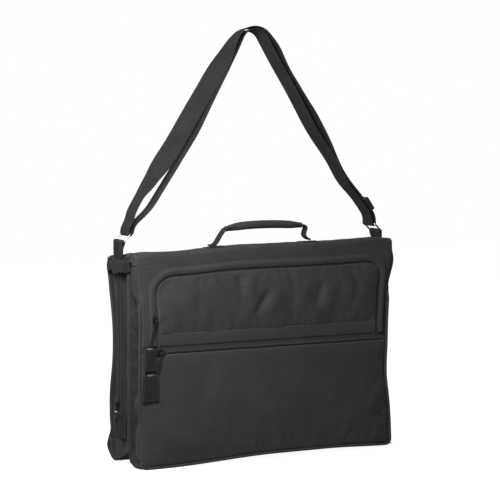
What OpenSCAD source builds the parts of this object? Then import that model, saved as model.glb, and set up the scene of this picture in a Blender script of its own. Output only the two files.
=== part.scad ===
// Bi-fold garment bag: two soft halves folded together over a top spine.
// The front half carries the pockets and the rear half holds the hanger hook.
// X runs across the bag, Y runs from the front to the rear and Z runs up.
// The origin is on the floor, in the middle of the bag's width and depth.

/* [Bag] */
// Width across the front
bag_w = 560; // [556:2:620]
// Height of the folded bag
bag_h = 420; // [400:5:450]
// Depth at the floor
bag_d = 150; // [140:2:170]
// How far the front face leans back at the top
front_lean = 27; // [20:1:32]
// How far the rear face stands in at the top
rear_lean = 9; // [4:1:14]
// How far the rear face sags inwards at mid height
rear_sag = 18; // [10:1:24]
// Distance from the middle of the depth to the fold between the halves, forwards
fold_y = 17; // [10:1:22]

/* [Cloth] */
// Thickness of a padded cloth panel
panel_t = 3; // [2.5:0.5:3]
// Radius of the piping cord
cord_r = 2.75; // [2.5:0.25:3]
// Thickness of a stiffener board
board_t = 1.5; // [1:0.5:2]
// Width of a zip tape
tape_w = 26; // [22:1:28]

/* [Pockets] */
// Distance from the middle to the left leg of the arch zip
arch_left = 242; // [230:1:242]
// Distance from the middle to the right leg of the arch zip
arch_right = 258; // [240:1:258]
// Height of the top run of the arch zip
arch_top = 377; // [365:1:380]
// Radius of the arch zip's corners
arch_r = 46; // [35:1:60]
// Height of the straight pocket zip
pocket_zip_v = 218; // [205:1:220]

/* [Handle] */
// Distance between the handle's feet
handle_span = 208; // [190:2:230]
// Rise of the grip above the bag's top
handle_rise = 30; // [26:1:34]
// Radius of the wrapped grip
grip_r = 7.5; // [7:0.5:9]

/* [Shoulder strap] */
// Width of the webbing
web_w = 38; // [32:1:40]
// Thickness of one ply of webbing
web_t = 2; // [1.5:0.5:2]
// Height of the strap's highest point
strap_top = 834; // [780:2:860]

/* [Hidden] */
$fn = 64;

CLOTH = [0.12, 0.12, 0.13];
CLOTH_SHADE = [0.09, 0.09, 0.10];
WEBBING = [0.15, 0.15, 0.16];
LINING = [0.20, 0.20, 0.22];
ZIP_TAPE = [0.07, 0.07, 0.08];
COIL = [0.05, 0.05, 0.05];
BOARD = [0.30, 0.28, 0.25];
NICKEL = [0.75, 0.75, 0.77];
BUCKLE = [0.06, 0.06, 0.06];

gap = 0.3;                       // play left between neighbouring pieces
half_w = bag_w / 2;
half_d = bag_d / 2;
front_tilt = atan(front_lean / bag_h);

// Edges of the top, which are also the two fold lines
front_top_y = -half_d + front_lean + 1;
rear_top_y = half_d - rear_lean;
spine_mid_y = (front_top_y + rear_top_y) / 2;
spine_z = bag_h - panel_t;       // underside of the spine panel
side_x = half_w - 1;             // outer face of the side gussets
cord_x = half_w - cord_r;        // middle of the side piping
panel_x = cord_x - cord_r - gap; // side edge of the outer panels
gusset_in_x = side_x - panel_t;  // inner face of the side gussets
inner_x = gusset_in_x - gap;     // side edge of everything between the gussets
inset = 2 * cord_r + gap;        // gusset edge to the bag's outer outline
gusset_top = bag_h - 21;         // the rings swing down past the gussets' tops
lining_top = bag_h - 10;
floor_gap = panel_t + gap;       // what stands on an end panel starts here

// Rear half, in (y, z)
rear_corner_r = 30;
rear_corner_y = half_d - rear_corner_r;
rear_panel_top = spine_z - 1;
rear_rise = rear_panel_top - rear_corner_r;
rear_chord = norm([rear_lean, rear_rise]);
sag_r = (pow(rear_chord / 2, 2) + pow(rear_sag, 2)) / (2 * rear_sag);
sag_out = sag_r - rear_sag;
sag_y = half_d - rear_lean / 2 + sag_out * rear_rise / rear_chord;
sag_z = rear_corner_r + rear_rise / 2 + sag_out * rear_lean / rear_chord;
sag_a0 = atan2(rear_corner_r - sag_z, half_d - sag_y);
sag_a1 = atan2(rear_panel_top - sag_z, rear_top_y - sag_y);
rear_inner_y = -fold_y + 1.5;    // front face of the rear half's lining
lining_t = 2.5;
front_inner_y = -fold_y - 2;     // rear face of the front half's lining

// Zip and slot sizes
zip_slot_y = 26;                 // middle of the main zip
zip_slot_w = 20;
zip_slot_z0 = 104;
zip_slot_z1 = bag_h - 40;
coil_w = 6;
coil_t = 2.4;

// Pocket levels up the front face
top_v = bag_h - 7;
band_v0 = pocket_zip_v + tape_w / 2 + gap;
band_v1 = band_v0 + 22;
low_v1 = pocket_zip_v - tape_w / 2 - gap;
corner_r = 14;                   // lower corners of the front face
face_w = panel_t / 2;            // outer face, out from the piping's middle plane
coil_top = face_w - 1 + coil_t;

// Sliders and pulls
slider_l = 16;
slider_w = 11;
slider_t = 2.2;
pin_r = 1;
pin_gap = 0.08;
pin_w = coil_top + gap + slider_t + 2.3;
arch_slider_v = 279;
pocket_slider_x = -233;
main_slider_z = zip_slot_z0 + slider_l / 2 + 2;
arch_pull_l = 45;                // leaning part of each pull
arch_pull_lean = 17;
pocket_pull_l = 33;
pocket_pull_lean = 14;
main_pull_l = 5;
pull_neck = 6.5;                 // straight part that clears the slider's cheeks
pull_tab_t = 2.2;

// Handle
handle_y = -28;
anchor_t = 1.6;
foot_r = 5;                      // rounded end of the handle's webbing
foot_z = bag_h + anchor_t + foot_r + 1.6;
grip_z = bag_h + handle_rise;
grip_half = 78;
strip_t = 3;
strip_w = 12;

// Hanger hook
hook_y = 26;
hook_r = 24;
hook_wire = 2.5;
hook_z = 36;                     // middle of the hook's bow when stowed
swivel_z = hook_z + hook_r + 12;
clamp_z = 108;
clamp_h = 16;
stem_r = 3;
hook_travel = 70;
hook_slot = [2 * hook_r + 20, 14];

// Strap that holds the garment
garment_y = 12;
garment_z = 238;
garment_w = 25;

// Shoulder strap, in (x, z)
pivot_z = bag_h - 10;
tab_x = half_w + 4;              // middle of the tabs' loops
ring_low_z = bag_h + 9;
ring_rise = 21;
ring_lean = 45;
ring_wire = 1.7;
loop_in = ring_wire + 0.4;       // the tabs' loops round the rings
loop_out = loop_in + 2.2;
bar_x = tab_x - ring_rise * sin(ring_lean);
bar_z = ring_low_z + ring_rise * cos(ring_lean);
ply_gap = 6.4;                   // between the two plies
top_bend_r = 28;
top_bend_z = strap_top - top_bend_r - ply_gap / 2 - web_t;
left_bend_r = 40;
left_bend_z = bag_h + 30;
right_bend_r = 30;
right_bend_z = bag_h + 30;
left_run = run_angle(left_bend_r, left_bend_z);
right_run = run_angle(right_bend_r, right_bend_z);
adjuster_s = 18;                 // adjuster's place up the right run
adjuster_out = ply_gap / 2 + web_t + gap + ring_wire;
rail_x = web_w / 2 + 0.8;        // inner faces of the adjuster's rails
rail_l = 28;

// From the middle of a lower bend to the middle of the top bend
function bend_to_top(bend_r, bend_z) = [bar_x - bend_r, top_bend_z - bend_z];

// Slope of a strap run that touches its lower bend and the top bend
function run_angle(bend_r, bend_z) =
    let (way = bend_to_top(bend_r, bend_z))
    atan2(way.y, way.x) - asin((bend_r - top_bend_r) / norm(way));

// Outer face of the rear skin at a height
function rear_skin_y(z) = sag_y - sqrt(pow(sag_r, 2) - pow(z - sag_z, 2));

// ---------- placing helpers ----------

// Draws (y, z) shapes standing across the bag, with their thickness along +X
module across(x) {
    translate([x, 0, 0]) rotate([90, 0, 90]) children();
}

// Draws (x, v) shapes on the leaning front face, with w pointing outwards
module front_face() {
    translate([0, -half_d + cord_r, cord_r]) rotate([90 - front_tilt, 0, 0]) children();
}

// A plate on the front face between two outward distances
module face_plate(w0, w1) {
    front_face() translate([0, 0, w0]) linear_extrude(w1 - w0) children();
}

module box(low, high) {
    translate(low) cube(high - low);
}

// ---------- outlines ----------

// Side view of the rear half, shrunk inwards by an inset
module rear_outline(shrink) {
    difference() {
        union() {
            translate([rear_inner_y, rear_corner_r])
                square([half_d - shrink - rear_inner_y, rear_panel_top - rear_corner_r]);
            translate([rear_inner_y, shrink])
                square([rear_corner_y - rear_inner_y, rear_corner_r - shrink + 1]);
            translate([rear_corner_y, rear_corner_r]) circle(r = rear_corner_r - shrink);
        }
        translate([sag_y, sag_z]) circle(r = sag_r + shrink, $fn = 360);
    }
}

// A strip of the rear half's skin between two insets
module rear_skin(outer, inner) {
    difference() {
        rear_outline(outer);
        rear_outline(inner);
    }
}

// Side view of a rear gusset
module rear_gusset_outline() {
    intersection() {
        rear_outline(inset);
        translate([rear_inner_y + lining_t + gap, 0]) square([bag_d, gusset_top]);
    }
}

// Rear face of the front skin's piping at a height
function front_skin_y(z) = -half_d + inset + gap + z * tan(front_tilt);

// Side view of a front gusset
module front_gusset_outline() {
    rear_y = front_inner_y - lining_t - gap;
    polygon([[front_skin_y(floor_gap), floor_gap], [rear_y, floor_gap],
             [rear_y, gusset_top], [front_skin_y(gusset_top), gusset_top]]);
}

// Area under the arch zip, grown outwards from the zip's middle line
module arch_area(grow, v0) {
    r = arch_r + grow;
    x0 = -arch_left - grow;
    x1 = arch_right + grow;
    v1 = arch_top + grow;
    translate([x0, v0]) square([x1 - x0, v1 - r - v0]);
    translate([x0 + r, v0]) square([x1 - x0 - 2 * r, v1 - v0]);
    for (x = [x0 + r, x1 - r]) translate([x, v1 - r]) circle(r = r);
}

// Lower part of the front face, with its rounded corners
module low_face(x, v0, v1, r) {
    translate([-x, v0 + r]) square([2 * x, v1 - v0 - r]);
    translate([-x + r, v0]) square([2 * (x - r), v1 - v0]);
    for (side = [-1, 1]) translate([side * (x - r), v0 + r]) circle(r = r);
}

// ---------- rear half ----------

module rear_back_panel() {
    color(CLOTH) across(-panel_x) linear_extrude(2 * panel_x) intersection() {
        rear_skin(0, panel_t);
        translate([0, rear_corner_r + gap]) square([bag_d, bag_h]);
    }
}

module rear_end_panel() {
    color(CLOTH) difference() {
        across(-panel_x) linear_extrude(2 * panel_x) intersection() {
            rear_skin(0, panel_t);
            translate([rear_inner_y, 0]) square([bag_d, rear_corner_r]);
        }
        translate([0, hook_y, -1]) linear_extrude(2 * panel_t)
            square(hook_slot + [2, 2], center = true);
    }
}

// A cord that follows the rear skin from the top to the rounded end
module rear_cord(x) {
    mid = rear_corner_r - cord_r;
    across(x) {
        translate([sag_y, sag_z]) rotate([0, 0, sag_a1])
            rotate_extrude(angle = 360 + sag_a0 - sag_a1, $fn = 360)
                translate([sag_r + cord_r, 0]) circle(r = cord_r, $fn = 24);
        translate([rear_corner_y, rear_corner_r]) rotate([0, 0, -90])
            rotate_extrude(angle = 88) translate([mid, 0]) circle(r = cord_r, $fn = 24);
    }
}

module rear_piping() {
    color(CLOTH_SHADE) for (side = [-1, 1]) rear_cord(side * cord_x);
}

module rear_back_board() {
    board_x = inner_x - 10;
    color(BOARD) across(-board_x) linear_extrude(2 * board_x) intersection() {
        rear_skin(panel_t + gap, panel_t + gap + board_t);
        translate([0, 40]) square([bag_d, 360]);
    }
}

module rear_inner_panel() {
    color(LINING) box([-inner_x, rear_inner_y, floor_gap],
                      [inner_x, rear_inner_y + lining_t, lining_top]);
}

module rear_gusset_left() {
    color(CLOTH) difference() {
        across(-side_x) linear_extrude(panel_t) rear_gusset_outline();
        box([-side_x - 1, zip_slot_y - zip_slot_w / 2, zip_slot_z0],
            [-gusset_in_x + 1, zip_slot_y + zip_slot_w / 2, zip_slot_z1]);
    }
}

module rear_gusset_right() {
    color(CLOTH) across(gusset_in_x) linear_extrude(panel_t) rear_gusset_outline();
}

module main_zip_tape() {
    half = zip_slot_w / 2 - gap;
    color(ZIP_TAPE) box([-side_x + 0.5, zip_slot_y - half, zip_slot_z0 + gap],
                        [-side_x + 2, zip_slot_y + half, zip_slot_z1 - gap]);
}

module main_zip_coil() {
    color(COIL) box([-side_x - 1, zip_slot_y - coil_w / 2, zip_slot_z0 + 4],
                    [-side_x + 0.5, zip_slot_y + coil_w / 2, zip_slot_z1 - 4]);
}

// Webbing patch over the lower end of the main zip
module zip_end_tab() {
    top = zip_slot_z0 - 6;
    color(WEBBING) box([-side_x - 1.8, -8, top - 48], [-side_x, 42, top]);
}

module hook_slot_trim() {
    color(BUCKLE) translate([0, hook_y, 0]) linear_extrude(panel_t) difference() {
        square(hook_slot + [1.4, 1.4], center = true);
        square(hook_slot - [3, 1.4], center = true);
    }
}

// Block that guides the hook's stem and stands against the rear board
module hanger_clamp() {
    back_y = rear_skin_y(clamp_z + clamp_h) - panel_t - board_t - 2 * gap;
    color(BUCKLE) difference() {
        box([-26, hook_y - 10, clamp_z], [26, back_y, clamp_z + clamp_h]);
        translate([0, hook_y, clamp_z - 1]) cylinder(r = stem_r + pin_gap, h = clamp_h + 2);
    }
}

// Strap across the rear half's space, in two pieces that meet at the buckle
module garment_strap() {
    color(WEBBING) for (side = [0, 1]) mirror([side, 0, 0])
        box([20, garment_y, garment_z], [inner_x, garment_y + 1.5, garment_z + garment_w]);
}

module garment_strap_buckle() {
    rim = 6;
    color(BUCKLE) difference() {
        box([-19.5, garment_y - 2, garment_z - rim],
            [19.5, garment_y + 4, garment_z + garment_w + rim]);
        for (x = [-12, 4]) box([x, garment_y - 3, garment_z],
                               [x + 8, garment_y + 5, garment_z + garment_w]);
    }
}

// ---------- spine ----------

module spine_panel() {
    r = 10;
    end = half_w - 2;
    notch = web_w + 32;
    depth = 12;
    color(CLOTH) translate([0, 0, spine_z]) linear_extrude(panel_t) difference() {
        union() {
            translate([-end + r, front_top_y]) square([2 * (end - r), rear_top_y - front_top_y]);
            translate([-end, front_top_y + r])
                square([2 * end, rear_top_y - front_top_y - 2 * r]);
            for (x = [-end + r, end - r], y = [front_top_y + r, rear_top_y - r])
                translate([x, y]) circle(r = r);
        }
        for (side = [-1, 1])
            translate([side * (end - depth / 2 + 0.5), spine_mid_y])
                square([depth + 1, notch], center = true);
    }
}

module spine_board() {
    color(BOARD) box([-half_w + 20, front_top_y + 12, spine_z - board_t - gap],
                     [half_w - 20, rear_top_y - 12, spine_z - gap]);
}

module handle_anchors() {
    color(WEBBING) for (side = [-1, 1])
        translate([side * handle_span / 2, handle_y, bag_h])
            linear_extrude(anchor_t) square([36, 30], center = true);
}

// Webbing from one foot up, through the grip and down to the other foot
module handle_webbing() {
    foot_x = handle_span / 2;
    rise = grip_z - foot_z;
    lean = (foot_x - grip_half - 3) / rise;  // sideways run of a leg per unit of rise
    half_t = strip_t / 2 * norm([1, lean]);
    out = [for (z = [foot_z, grip_z + strip_t / 2]) [foot_x + half_t - lean * (z - foot_z), z]];
    in = [for (z = [grip_z - strip_t / 2, foot_z]) [foot_x - half_t - lean * (z - foot_z), z]];
    color(WEBBING) {
        translate([0, handle_y + strip_w / 2, 0]) rotate([90, 0, 0]) linear_extrude(strip_w)
            polygon([out[0], out[1], [-out[1].x, out[1].y], [-out[0].x, out[0].y],
                     [-in[1].x, in[1].y], [-in[0].x, in[0].y], in[0], in[1]]);
        for (side = [-1, 1]) translate([side * foot_x - 4, handle_y, foot_z])
            rotate([0, 90, 0]) cylinder(r = foot_r, h = 8);
    }
}

module handle_grip() {
    color(CLOTH_SHADE) difference() {
        translate([-grip_half, handle_y, grip_z]) rotate([0, 90, 0])
            cylinder(r = grip_r, h = 2 * grip_half);
        translate([-grip_half - 1, handle_y - strip_w / 2 - gap, grip_z - strip_t / 2 - gap])
            cube([2 * grip_half + 2, strip_w + 2 * gap, strip_t + 2 * gap]);
    }
}

// Webbing patches on the spine's ends that carry the strap tabs
module tab_patches() {
    half = web_w / 2 - 6;        // narrow enough for the tabs' loops to swing past
    color(WEBBING) for (side = [0, 1]) mirror([side, 0, 0]) {
        box([half_w - 0.5, spine_mid_y - half, gusset_top + 1],
            [half_w + 1.2, spine_mid_y + half, spine_z]);
        box([half_w - 16, spine_mid_y - half, spine_z - 2.2],
            [half_w + 1.2, spine_mid_y + half, spine_z - gap]);
    }
}

// ---------- shoulder strap ----------

// A tab that hangs from its pivot and loops round the ring's lower bar
module strap_tab(side) {
    r = web_w / 2;
    mirror([side < 0 ? 1 : 0, 0, 0]) color(WEBBING) {
        translate([tab_x + loop_in, 0, 0]) {
            translate([0, spine_mid_y, pivot_z]) rotate([0, 90, 0])
                cylinder(r = r, h = loop_out - loop_in);
            translate([0, spine_mid_y - r, pivot_z])
                cube([loop_out - loop_in, web_w, ring_low_z - pivot_z]);
        }
        translate([tab_x, spine_mid_y + r, ring_low_z]) rotate([90, 0, 0]) difference() {
            cylinder(r = loop_out, h = web_w);
            translate([0, 0, -1]) cylinder(r = loop_in, h = web_w + 2);
        }
    }
}

module strap_tab_left() { strap_tab(-1); }
module strap_tab_right() { strap_tab(1); }

// A closed wire ring with rounded corners, in the x-y plane
module wire_ring(length, height, corner, wire) {
    x = length / 2 - corner;
    y = height / 2 - corner;
    for (turn = [0, 1]) rotate([0, 0, 180 * turn]) {
        translate([-x, height / 2, 0]) rotate([0, 90, 0]) cylinder(r = wire, h = 2 * x, $fn = 24);
        translate([length / 2, -y, 0]) rotate([-90, 0, 0])
            cylinder(r = wire, h = 2 * y, $fn = 24);
        translate([x, y, 0]) rotate_extrude(angle = 90) translate([corner, 0])
            circle(r = wire, $fn = 24);
        translate([-x, y, 0]) rotate([0, 0, 90]) rotate_extrude(angle = 90)
            translate([corner, 0]) circle(r = wire, $fn = 24);
    }
}

module strap_ring(side) {
    color(NICKEL) translate([side * tab_x, spine_mid_y, ring_low_z])
        rotate([0, -side * ring_lean, 0]) rotate([90, 0, 90])
            translate([0, ring_rise / 2, 0]) wire_ring(web_w + 6, ring_rise, 4, ring_wire);
}

module ring_left() { strap_ring(-1); }
module ring_right() { strap_ring(1); }

function arc_points(centre, r, a0, a1, steps) =
    [for (i = [0:steps]) let (a = a0 + (a1 - a0) * i / steps) centre + r * [cos(a), sin(a)]];

// Closed (x, z) outline at a distance from the line that runs from bar to bar over the top
function strap_loop(off) =
    let (left = [-bar_x + left_bend_r, left_bend_z],
         top = [0, top_bend_z],
         right = [bar_x - right_bend_r, right_bend_z],
         a_left = 90 + left_run,
         a_right = 90 - right_run)
    concat(arc_points(left, left_bend_r + off, 180, a_left, 6),
           arc_points(top, top_bend_r + off, a_left, a_right, 14),
           arc_points(right, right_bend_r + off, a_right, 0, 6),
           arc_points([bar_x, bar_z], off, 0, -180, 12),
           arc_points(right, right_bend_r - off, 0, a_right, 6),
           arc_points(top, top_bend_r - off, a_right, a_left, 14),
           arc_points(left, left_bend_r - off, a_left, 180, 6),
           arc_points([-bar_x, bar_z], off, 360, 180, 12));

// One continuous strap: two plies that turn round the bars of the rings
module strap_webbing() {
    near = ply_gap / 2;
    color(WEBBING) translate([0, spine_mid_y + web_w / 2, 0]) rotate([90, 0, 0])
        linear_extrude(web_w) difference() {
            polygon(strap_loop(near + web_t));
            polygon(strap_loop(near));
        }
}

// Places a shape on the right run: x up the run, y out of the strap, z across it
module on_right_run() {
    translate([bar_x - right_bend_r, spine_mid_y, right_bend_z]) mirror([1, 0, 0])
        rotate([90, 0, 0]) rotate([0, 0, right_run])
            translate([adjuster_s, right_bend_r, 0]) children();
}

module adjuster_frame() {
    color(NICKEL) on_right_run() {
        for (side = [-1, 1]) {
            translate([side * (rail_l / 2 - ring_wire), adjuster_out, -rail_x])
                cylinder(r = ring_wire, h = 2 * rail_x, $fn = 24);
            translate([-rail_l / 2, -2, side > 0 ? rail_x : -rail_x - 2.4])
                cube([rail_l, adjuster_out + 3.4, 2.4]);
        }
    }
}

module adjuster_bar() {
    color(NICKEL) on_right_run() translate([0, 0, -rail_x])
        cylinder(r = 1.6, h = 2 * rail_x, $fn = 24);
}

// ---------- front half ----------

module front_upper_panel() {
    color(CLOTH) face_plate(-face_w, face_w) difference() {
        translate([-panel_x, band_v0]) square([2 * panel_x, top_v - band_v0]);
        arch_area(tape_w / 2 + gap, 0);
    }
}

module arch_zip_tape() {
    color(ZIP_TAPE) face_plate(-face_w, face_w - 1) difference() {
        arch_area(tape_w / 2, band_v0);
        arch_area(-tape_w / 2, 0);
    }
}

module arch_zip_coil() {
    color(COIL) face_plate(face_w - 1, coil_top) difference() {
        arch_area(coil_w / 2, band_v0 + 3);
        arch_area(-coil_w / 2, 0);
    }
}

module arch_pocket_panel() {
    color(CLOTH) face_plate(-face_w, face_w) arch_area(-tape_w / 2 - gap, band_v1 + gap);
}

module pocket_band() {
    x0 = -arch_left + tape_w / 2 + gap;
    x1 = arch_right - tape_w / 2 - gap;
    color(WEBBING) face_plate(-face_w, face_w + 0.5)
        translate([x0, band_v0]) square([x1 - x0, band_v1 - band_v0]);
}

module pocket_zip_tape() {
    color(ZIP_TAPE) face_plate(-face_w, face_w - 1)
        translate([-panel_x, pocket_zip_v - tape_w / 2]) square([2 * panel_x, tape_w]);
}

module pocket_zip_coil() {
    x0 = pocket_slider_x - slider_l / 2 - 4;
    color(COIL) face_plate(face_w - 1, coil_top)
        translate([x0, pocket_zip_v - coil_w / 2]) square([arch_right + 6 - x0, coil_w]);
}

module lower_pocket_panel() {
    low = cord_r + gap;
    color(CLOTH) face_plate(-face_w, face_w)
        low_face(panel_x, low, low_v1, corner_r - cord_r - gap);
}

module pocket_back_panel() {
    color(LINING) face_plate(-8, -6) low_face(inner_x, 6, top_v - 2, 6);
}

module front_board() {
    color(BOARD) face_plate(-8 - gap - board_t, -8 - gap) low_face(inner_x - 10, 14, top_v - 12, 6);
}

module front_inner_panel() {
    color(LINING) box([-inner_x, front_inner_y - lining_t, floor_gap],
                      [inner_x, front_inner_y, lining_top]);
}

module front_gusset_left() {
    color(CLOTH) across(-side_x) linear_extrude(panel_t) front_gusset_outline();
}

module front_gusset_right() {
    color(CLOTH) across(gusset_in_x) linear_extrude(panel_t) front_gusset_outline();
}

module front_end_panel() {
    color(CLOTH) box([-inner_x, front_skin_y(0), 0], [inner_x, front_inner_y, panel_t]);
}

module front_piping() {
    r = corner_r;
    color(CLOTH_SHADE) front_face() {
        translate([-cord_x + r, 0, 0]) rotate([0, 90, 0])
            cylinder(r = cord_r, h = 2 * (cord_x - r), $fn = 24);
        for (side = [0, 1]) mirror([side, 0, 0]) {
            translate([cord_x, r, 0]) rotate([-90, 0, 0])
                cylinder(r = cord_r, h = top_v - r, $fn = 24);
            translate([cord_x - r, r, 0]) rotate([0, 0, -90]) rotate_extrude(angle = 90)
                translate([r, 0]) circle(r = cord_r, $fn = 24);
        }
    }
}

// ---------- sliders and pulls ----------

// A slider with its pin along x and z out from the coil; turn lays its body along the zip
module slider_body(turn) {
    z0 = gap;
    pin_z = z0 + slider_t + 2.3;
    cheek = 1.6;
    translate([0, 0, z0]) linear_extrude(slider_t) rotate([0, 0, turn]) {
        square([slider_w, slider_l - 6], center = true);
        for (end = [-1, 1]) translate([0, end * (slider_l / 2 - 3)]) circle(d = slider_w - 1);
    }
    for (side = [-1, 1])
        translate([side * 3.4 - cheek / 2, -3, z0]) cube([cheek, 6, slider_t + 4]);
    translate([-3.4, 0, pin_z]) rotate([0, 90, 0]) cylinder(r = pin_r, h = 6.8, $fn = 24);
}

// A flat pull that hangs from its eye on the slider's pin, leaning sideways
module pull_plate(length, lean) {
    eye_w = 4.4;
    eye_r = pin_r + 1.2;
    difference() {
        union() {
            translate([-eye_w / 2, 0, 0]) rotate([0, 90, 0]) cylinder(r = eye_r, h = eye_w);
            translate([-2, -pull_neck - 1.5, -0.8]) cube([4, pull_neck + 1.5, 1.6]);
            translate([0, -pull_neck, 0]) rotate([0, 0, -lean])
                translate([-2, -length, -0.8]) cube([4, length, 1.6]);
        }
        translate([-eye_w, 0, 0]) rotate([0, 90, 0])
            cylinder(r = pin_r + pin_gap, h = 2 * eye_w, $fn = 24);
    }
}

// A webbing tab below the end of a leaning pull, moved sideways by a shift
module pull_tab(length, lean, size, shift) {
    x = -length * sin(lean) - shift;
    v = -pull_neck - length * cos(lean) - 1.5;
    translate([x - size.x / 2, v - size.y, -pull_tab_t / 2]) cube([size.x, size.y, pull_tab_t]);
}

// Middle of a pull's pin on the front face
module at_arch_pin() {
    front_face() translate([-arch_left, arch_slider_v, pin_w]) children();
}

module at_pocket_pin() {
    front_face() translate([pocket_slider_x, pocket_zip_v, pin_w]) children();
}

module arch_slider() {
    color(NICKEL) front_face() translate([-arch_left, arch_slider_v, coil_top]) slider_body(0);
}

module arch_pull() {
    color(NICKEL) at_arch_pin() pull_plate(arch_pull_l, arch_pull_lean);
}

module arch_pull_tab() {
    color(WEBBING) at_arch_pin() pull_tab(arch_pull_l, arch_pull_lean, [25, 45], 0.5);
}

module pocket_slider() {
    color(NICKEL) front_face() translate([pocket_slider_x, pocket_zip_v, coil_top])
        slider_body(90);
}

module pocket_pull() {
    color(NICKEL) at_pocket_pin() pull_plate(pocket_pull_l, pocket_pull_lean);
}

module pocket_pull_tab() {
    color(WEBBING) at_pocket_pin() pull_tab(pocket_pull_l, pocket_pull_lean, [36, 52], 16);
}

// The main zip's slider stands on the left gusset, facing away from the bag
module on_left_gusset(z) {
    translate([-side_x - 1, zip_slot_y, z]) rotate([90, 0, -90]) children();
}

module main_slider() {
    color(NICKEL) on_left_gusset(main_slider_z) slider_body(0);
}

module at_main_pin() {
    on_left_gusset(main_slider_z) translate([0, 0, gap + slider_t + 2.3]) children();
}

module main_pull() {
    color(NICKEL) at_main_pin() pull_plate(main_pull_l, 0);
}

module main_pull_tab() {
    color(WEBBING) at_main_pin() pull_tab(main_pull_l, 0, [7, 14], 0);
}

// ---------- hanger hook ----------

// Stem with a swivel socket below and a stop collar above
module hook_stem() {
    stop_z = clamp_z + clamp_h + hook_travel + 2;
    color(NICKEL) translate([0, hook_y, 0]) {
        difference() {
            union() {
                translate([0, 0, swivel_z]) cylinder(r = stem_r, h = stop_z - swivel_z + 4);
                translate([0, 0, swivel_z]) cylinder(r = 6, h = 6);
                translate([0, 0, stop_z]) cylinder(r = 7, h = 4);
            }
            translate([0, 0, swivel_z - 1]) cylinder(r = 2 + pin_gap, h = 5);
        }
    }
}

module hanger_hook() {
    color(NICKEL) translate([0, hook_y, 0]) {
        translate([0, 0, hook_z]) rotate([90, 0, 0]) rotate([0, 0, -180]) {
            rotate_extrude(angle = 270) translate([hook_r, 0]) circle(r = hook_wire, $fn = 24);
            translate([-hook_r, 0, 0]) sphere(r = hook_wire, $fn = 24);
        }
        translate([0, 0, hook_z + hook_r]) cylinder(r = hook_wire, h = 11.5);
        translate([0, 0, swivel_z - 1]) cylinder(r = 2, h = 3);
    }
}

rear_back_panel();
rear_back_board();
rear_end_panel();
rear_inner_panel();
rear_gusset_left();
rear_gusset_right();
rear_piping();
main_zip_tape();
main_zip_coil();
zip_end_tab();
hook_slot_trim();
hanger_clamp();
garment_strap();
garment_strap_buckle();
spine_panel();
spine_board();
handle_anchors();
tab_patches();
handle_grip();
handle_webbing();
strap_tab_left();
strap_tab_right();
strap_webbing();
ring_left();
ring_right();
adjuster_frame();
adjuster_bar();
front_upper_panel();
arch_zip_tape();
arch_zip_coil();
arch_pocket_panel();
pocket_band();
pocket_zip_tape();
pocket_zip_coil();
lower_pocket_panel();
pocket_back_panel();
front_board();
front_inner_panel();
front_gusset_left();
front_gusset_right();
front_end_panel();
front_piping();
arch_slider();
arch_pull();
arch_pull_tab();
pocket_slider();
pocket_pull();
pocket_pull_tab();
main_slider();
main_pull();
main_pull_tab();
hook_stem();
hanger_hook();
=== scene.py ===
"""Looks of the bi-fold garment bag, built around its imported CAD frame.

Lengths are in millimetres and turn into metres when a mesh is made. X runs across the
bag, Y from the front to the rear and Z up. On the front face, v runs up it and w out of it.
"""
import math

import bmesh
import bpy
import numpy as np
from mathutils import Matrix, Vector


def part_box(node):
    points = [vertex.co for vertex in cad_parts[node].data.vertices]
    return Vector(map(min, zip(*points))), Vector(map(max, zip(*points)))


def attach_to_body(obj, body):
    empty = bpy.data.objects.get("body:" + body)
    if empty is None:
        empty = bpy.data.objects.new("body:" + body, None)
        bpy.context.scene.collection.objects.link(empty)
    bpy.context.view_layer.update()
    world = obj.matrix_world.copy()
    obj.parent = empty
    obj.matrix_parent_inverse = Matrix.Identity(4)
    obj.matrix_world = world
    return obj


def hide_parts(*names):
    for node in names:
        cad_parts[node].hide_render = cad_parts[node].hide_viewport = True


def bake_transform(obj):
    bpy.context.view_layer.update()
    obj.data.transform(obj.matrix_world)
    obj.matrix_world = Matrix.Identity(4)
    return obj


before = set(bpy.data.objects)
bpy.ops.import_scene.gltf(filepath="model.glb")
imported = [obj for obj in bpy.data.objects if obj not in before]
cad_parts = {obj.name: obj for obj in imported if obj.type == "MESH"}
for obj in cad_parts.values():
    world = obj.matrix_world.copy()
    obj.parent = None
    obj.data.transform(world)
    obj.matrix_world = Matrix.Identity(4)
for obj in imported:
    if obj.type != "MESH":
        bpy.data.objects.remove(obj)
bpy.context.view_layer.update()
MM = 0.001
B = {n: [np.array(c, float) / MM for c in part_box(n)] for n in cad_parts}
SIDES = ((-1, "left"), (1, "right"))

# ---------- places taken from the CAD frame ----------
HALF_W = B["front_piping"][1][0]
HALF_D = -B["front_piping"][0][1]
HEIGHT = B["spine_panel"][1][2]
FRONT_TOP = B["spine_panel"][0][1]
REAR_TOP = B["spine_panel"][1][1]
MID_Y = (FRONT_TOP + REAR_TOP) / 2
CORD = 2.75
TILT = math.atan2(FRONT_TOP + HALF_D - 1, HEIGHT)
EDGE = HALF_W - 2 * CORD - 0.3          # side edge of the outer panels
SIDE = HALF_W - 1                       # outer face of the gussets
SIN, COS = math.sin(TILT), math.cos(TILT)
FACE_OUT = (0, -COS, SIN)


def height_to_v(z, w):
    return (z - CORD - w * SIN) / COS


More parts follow.
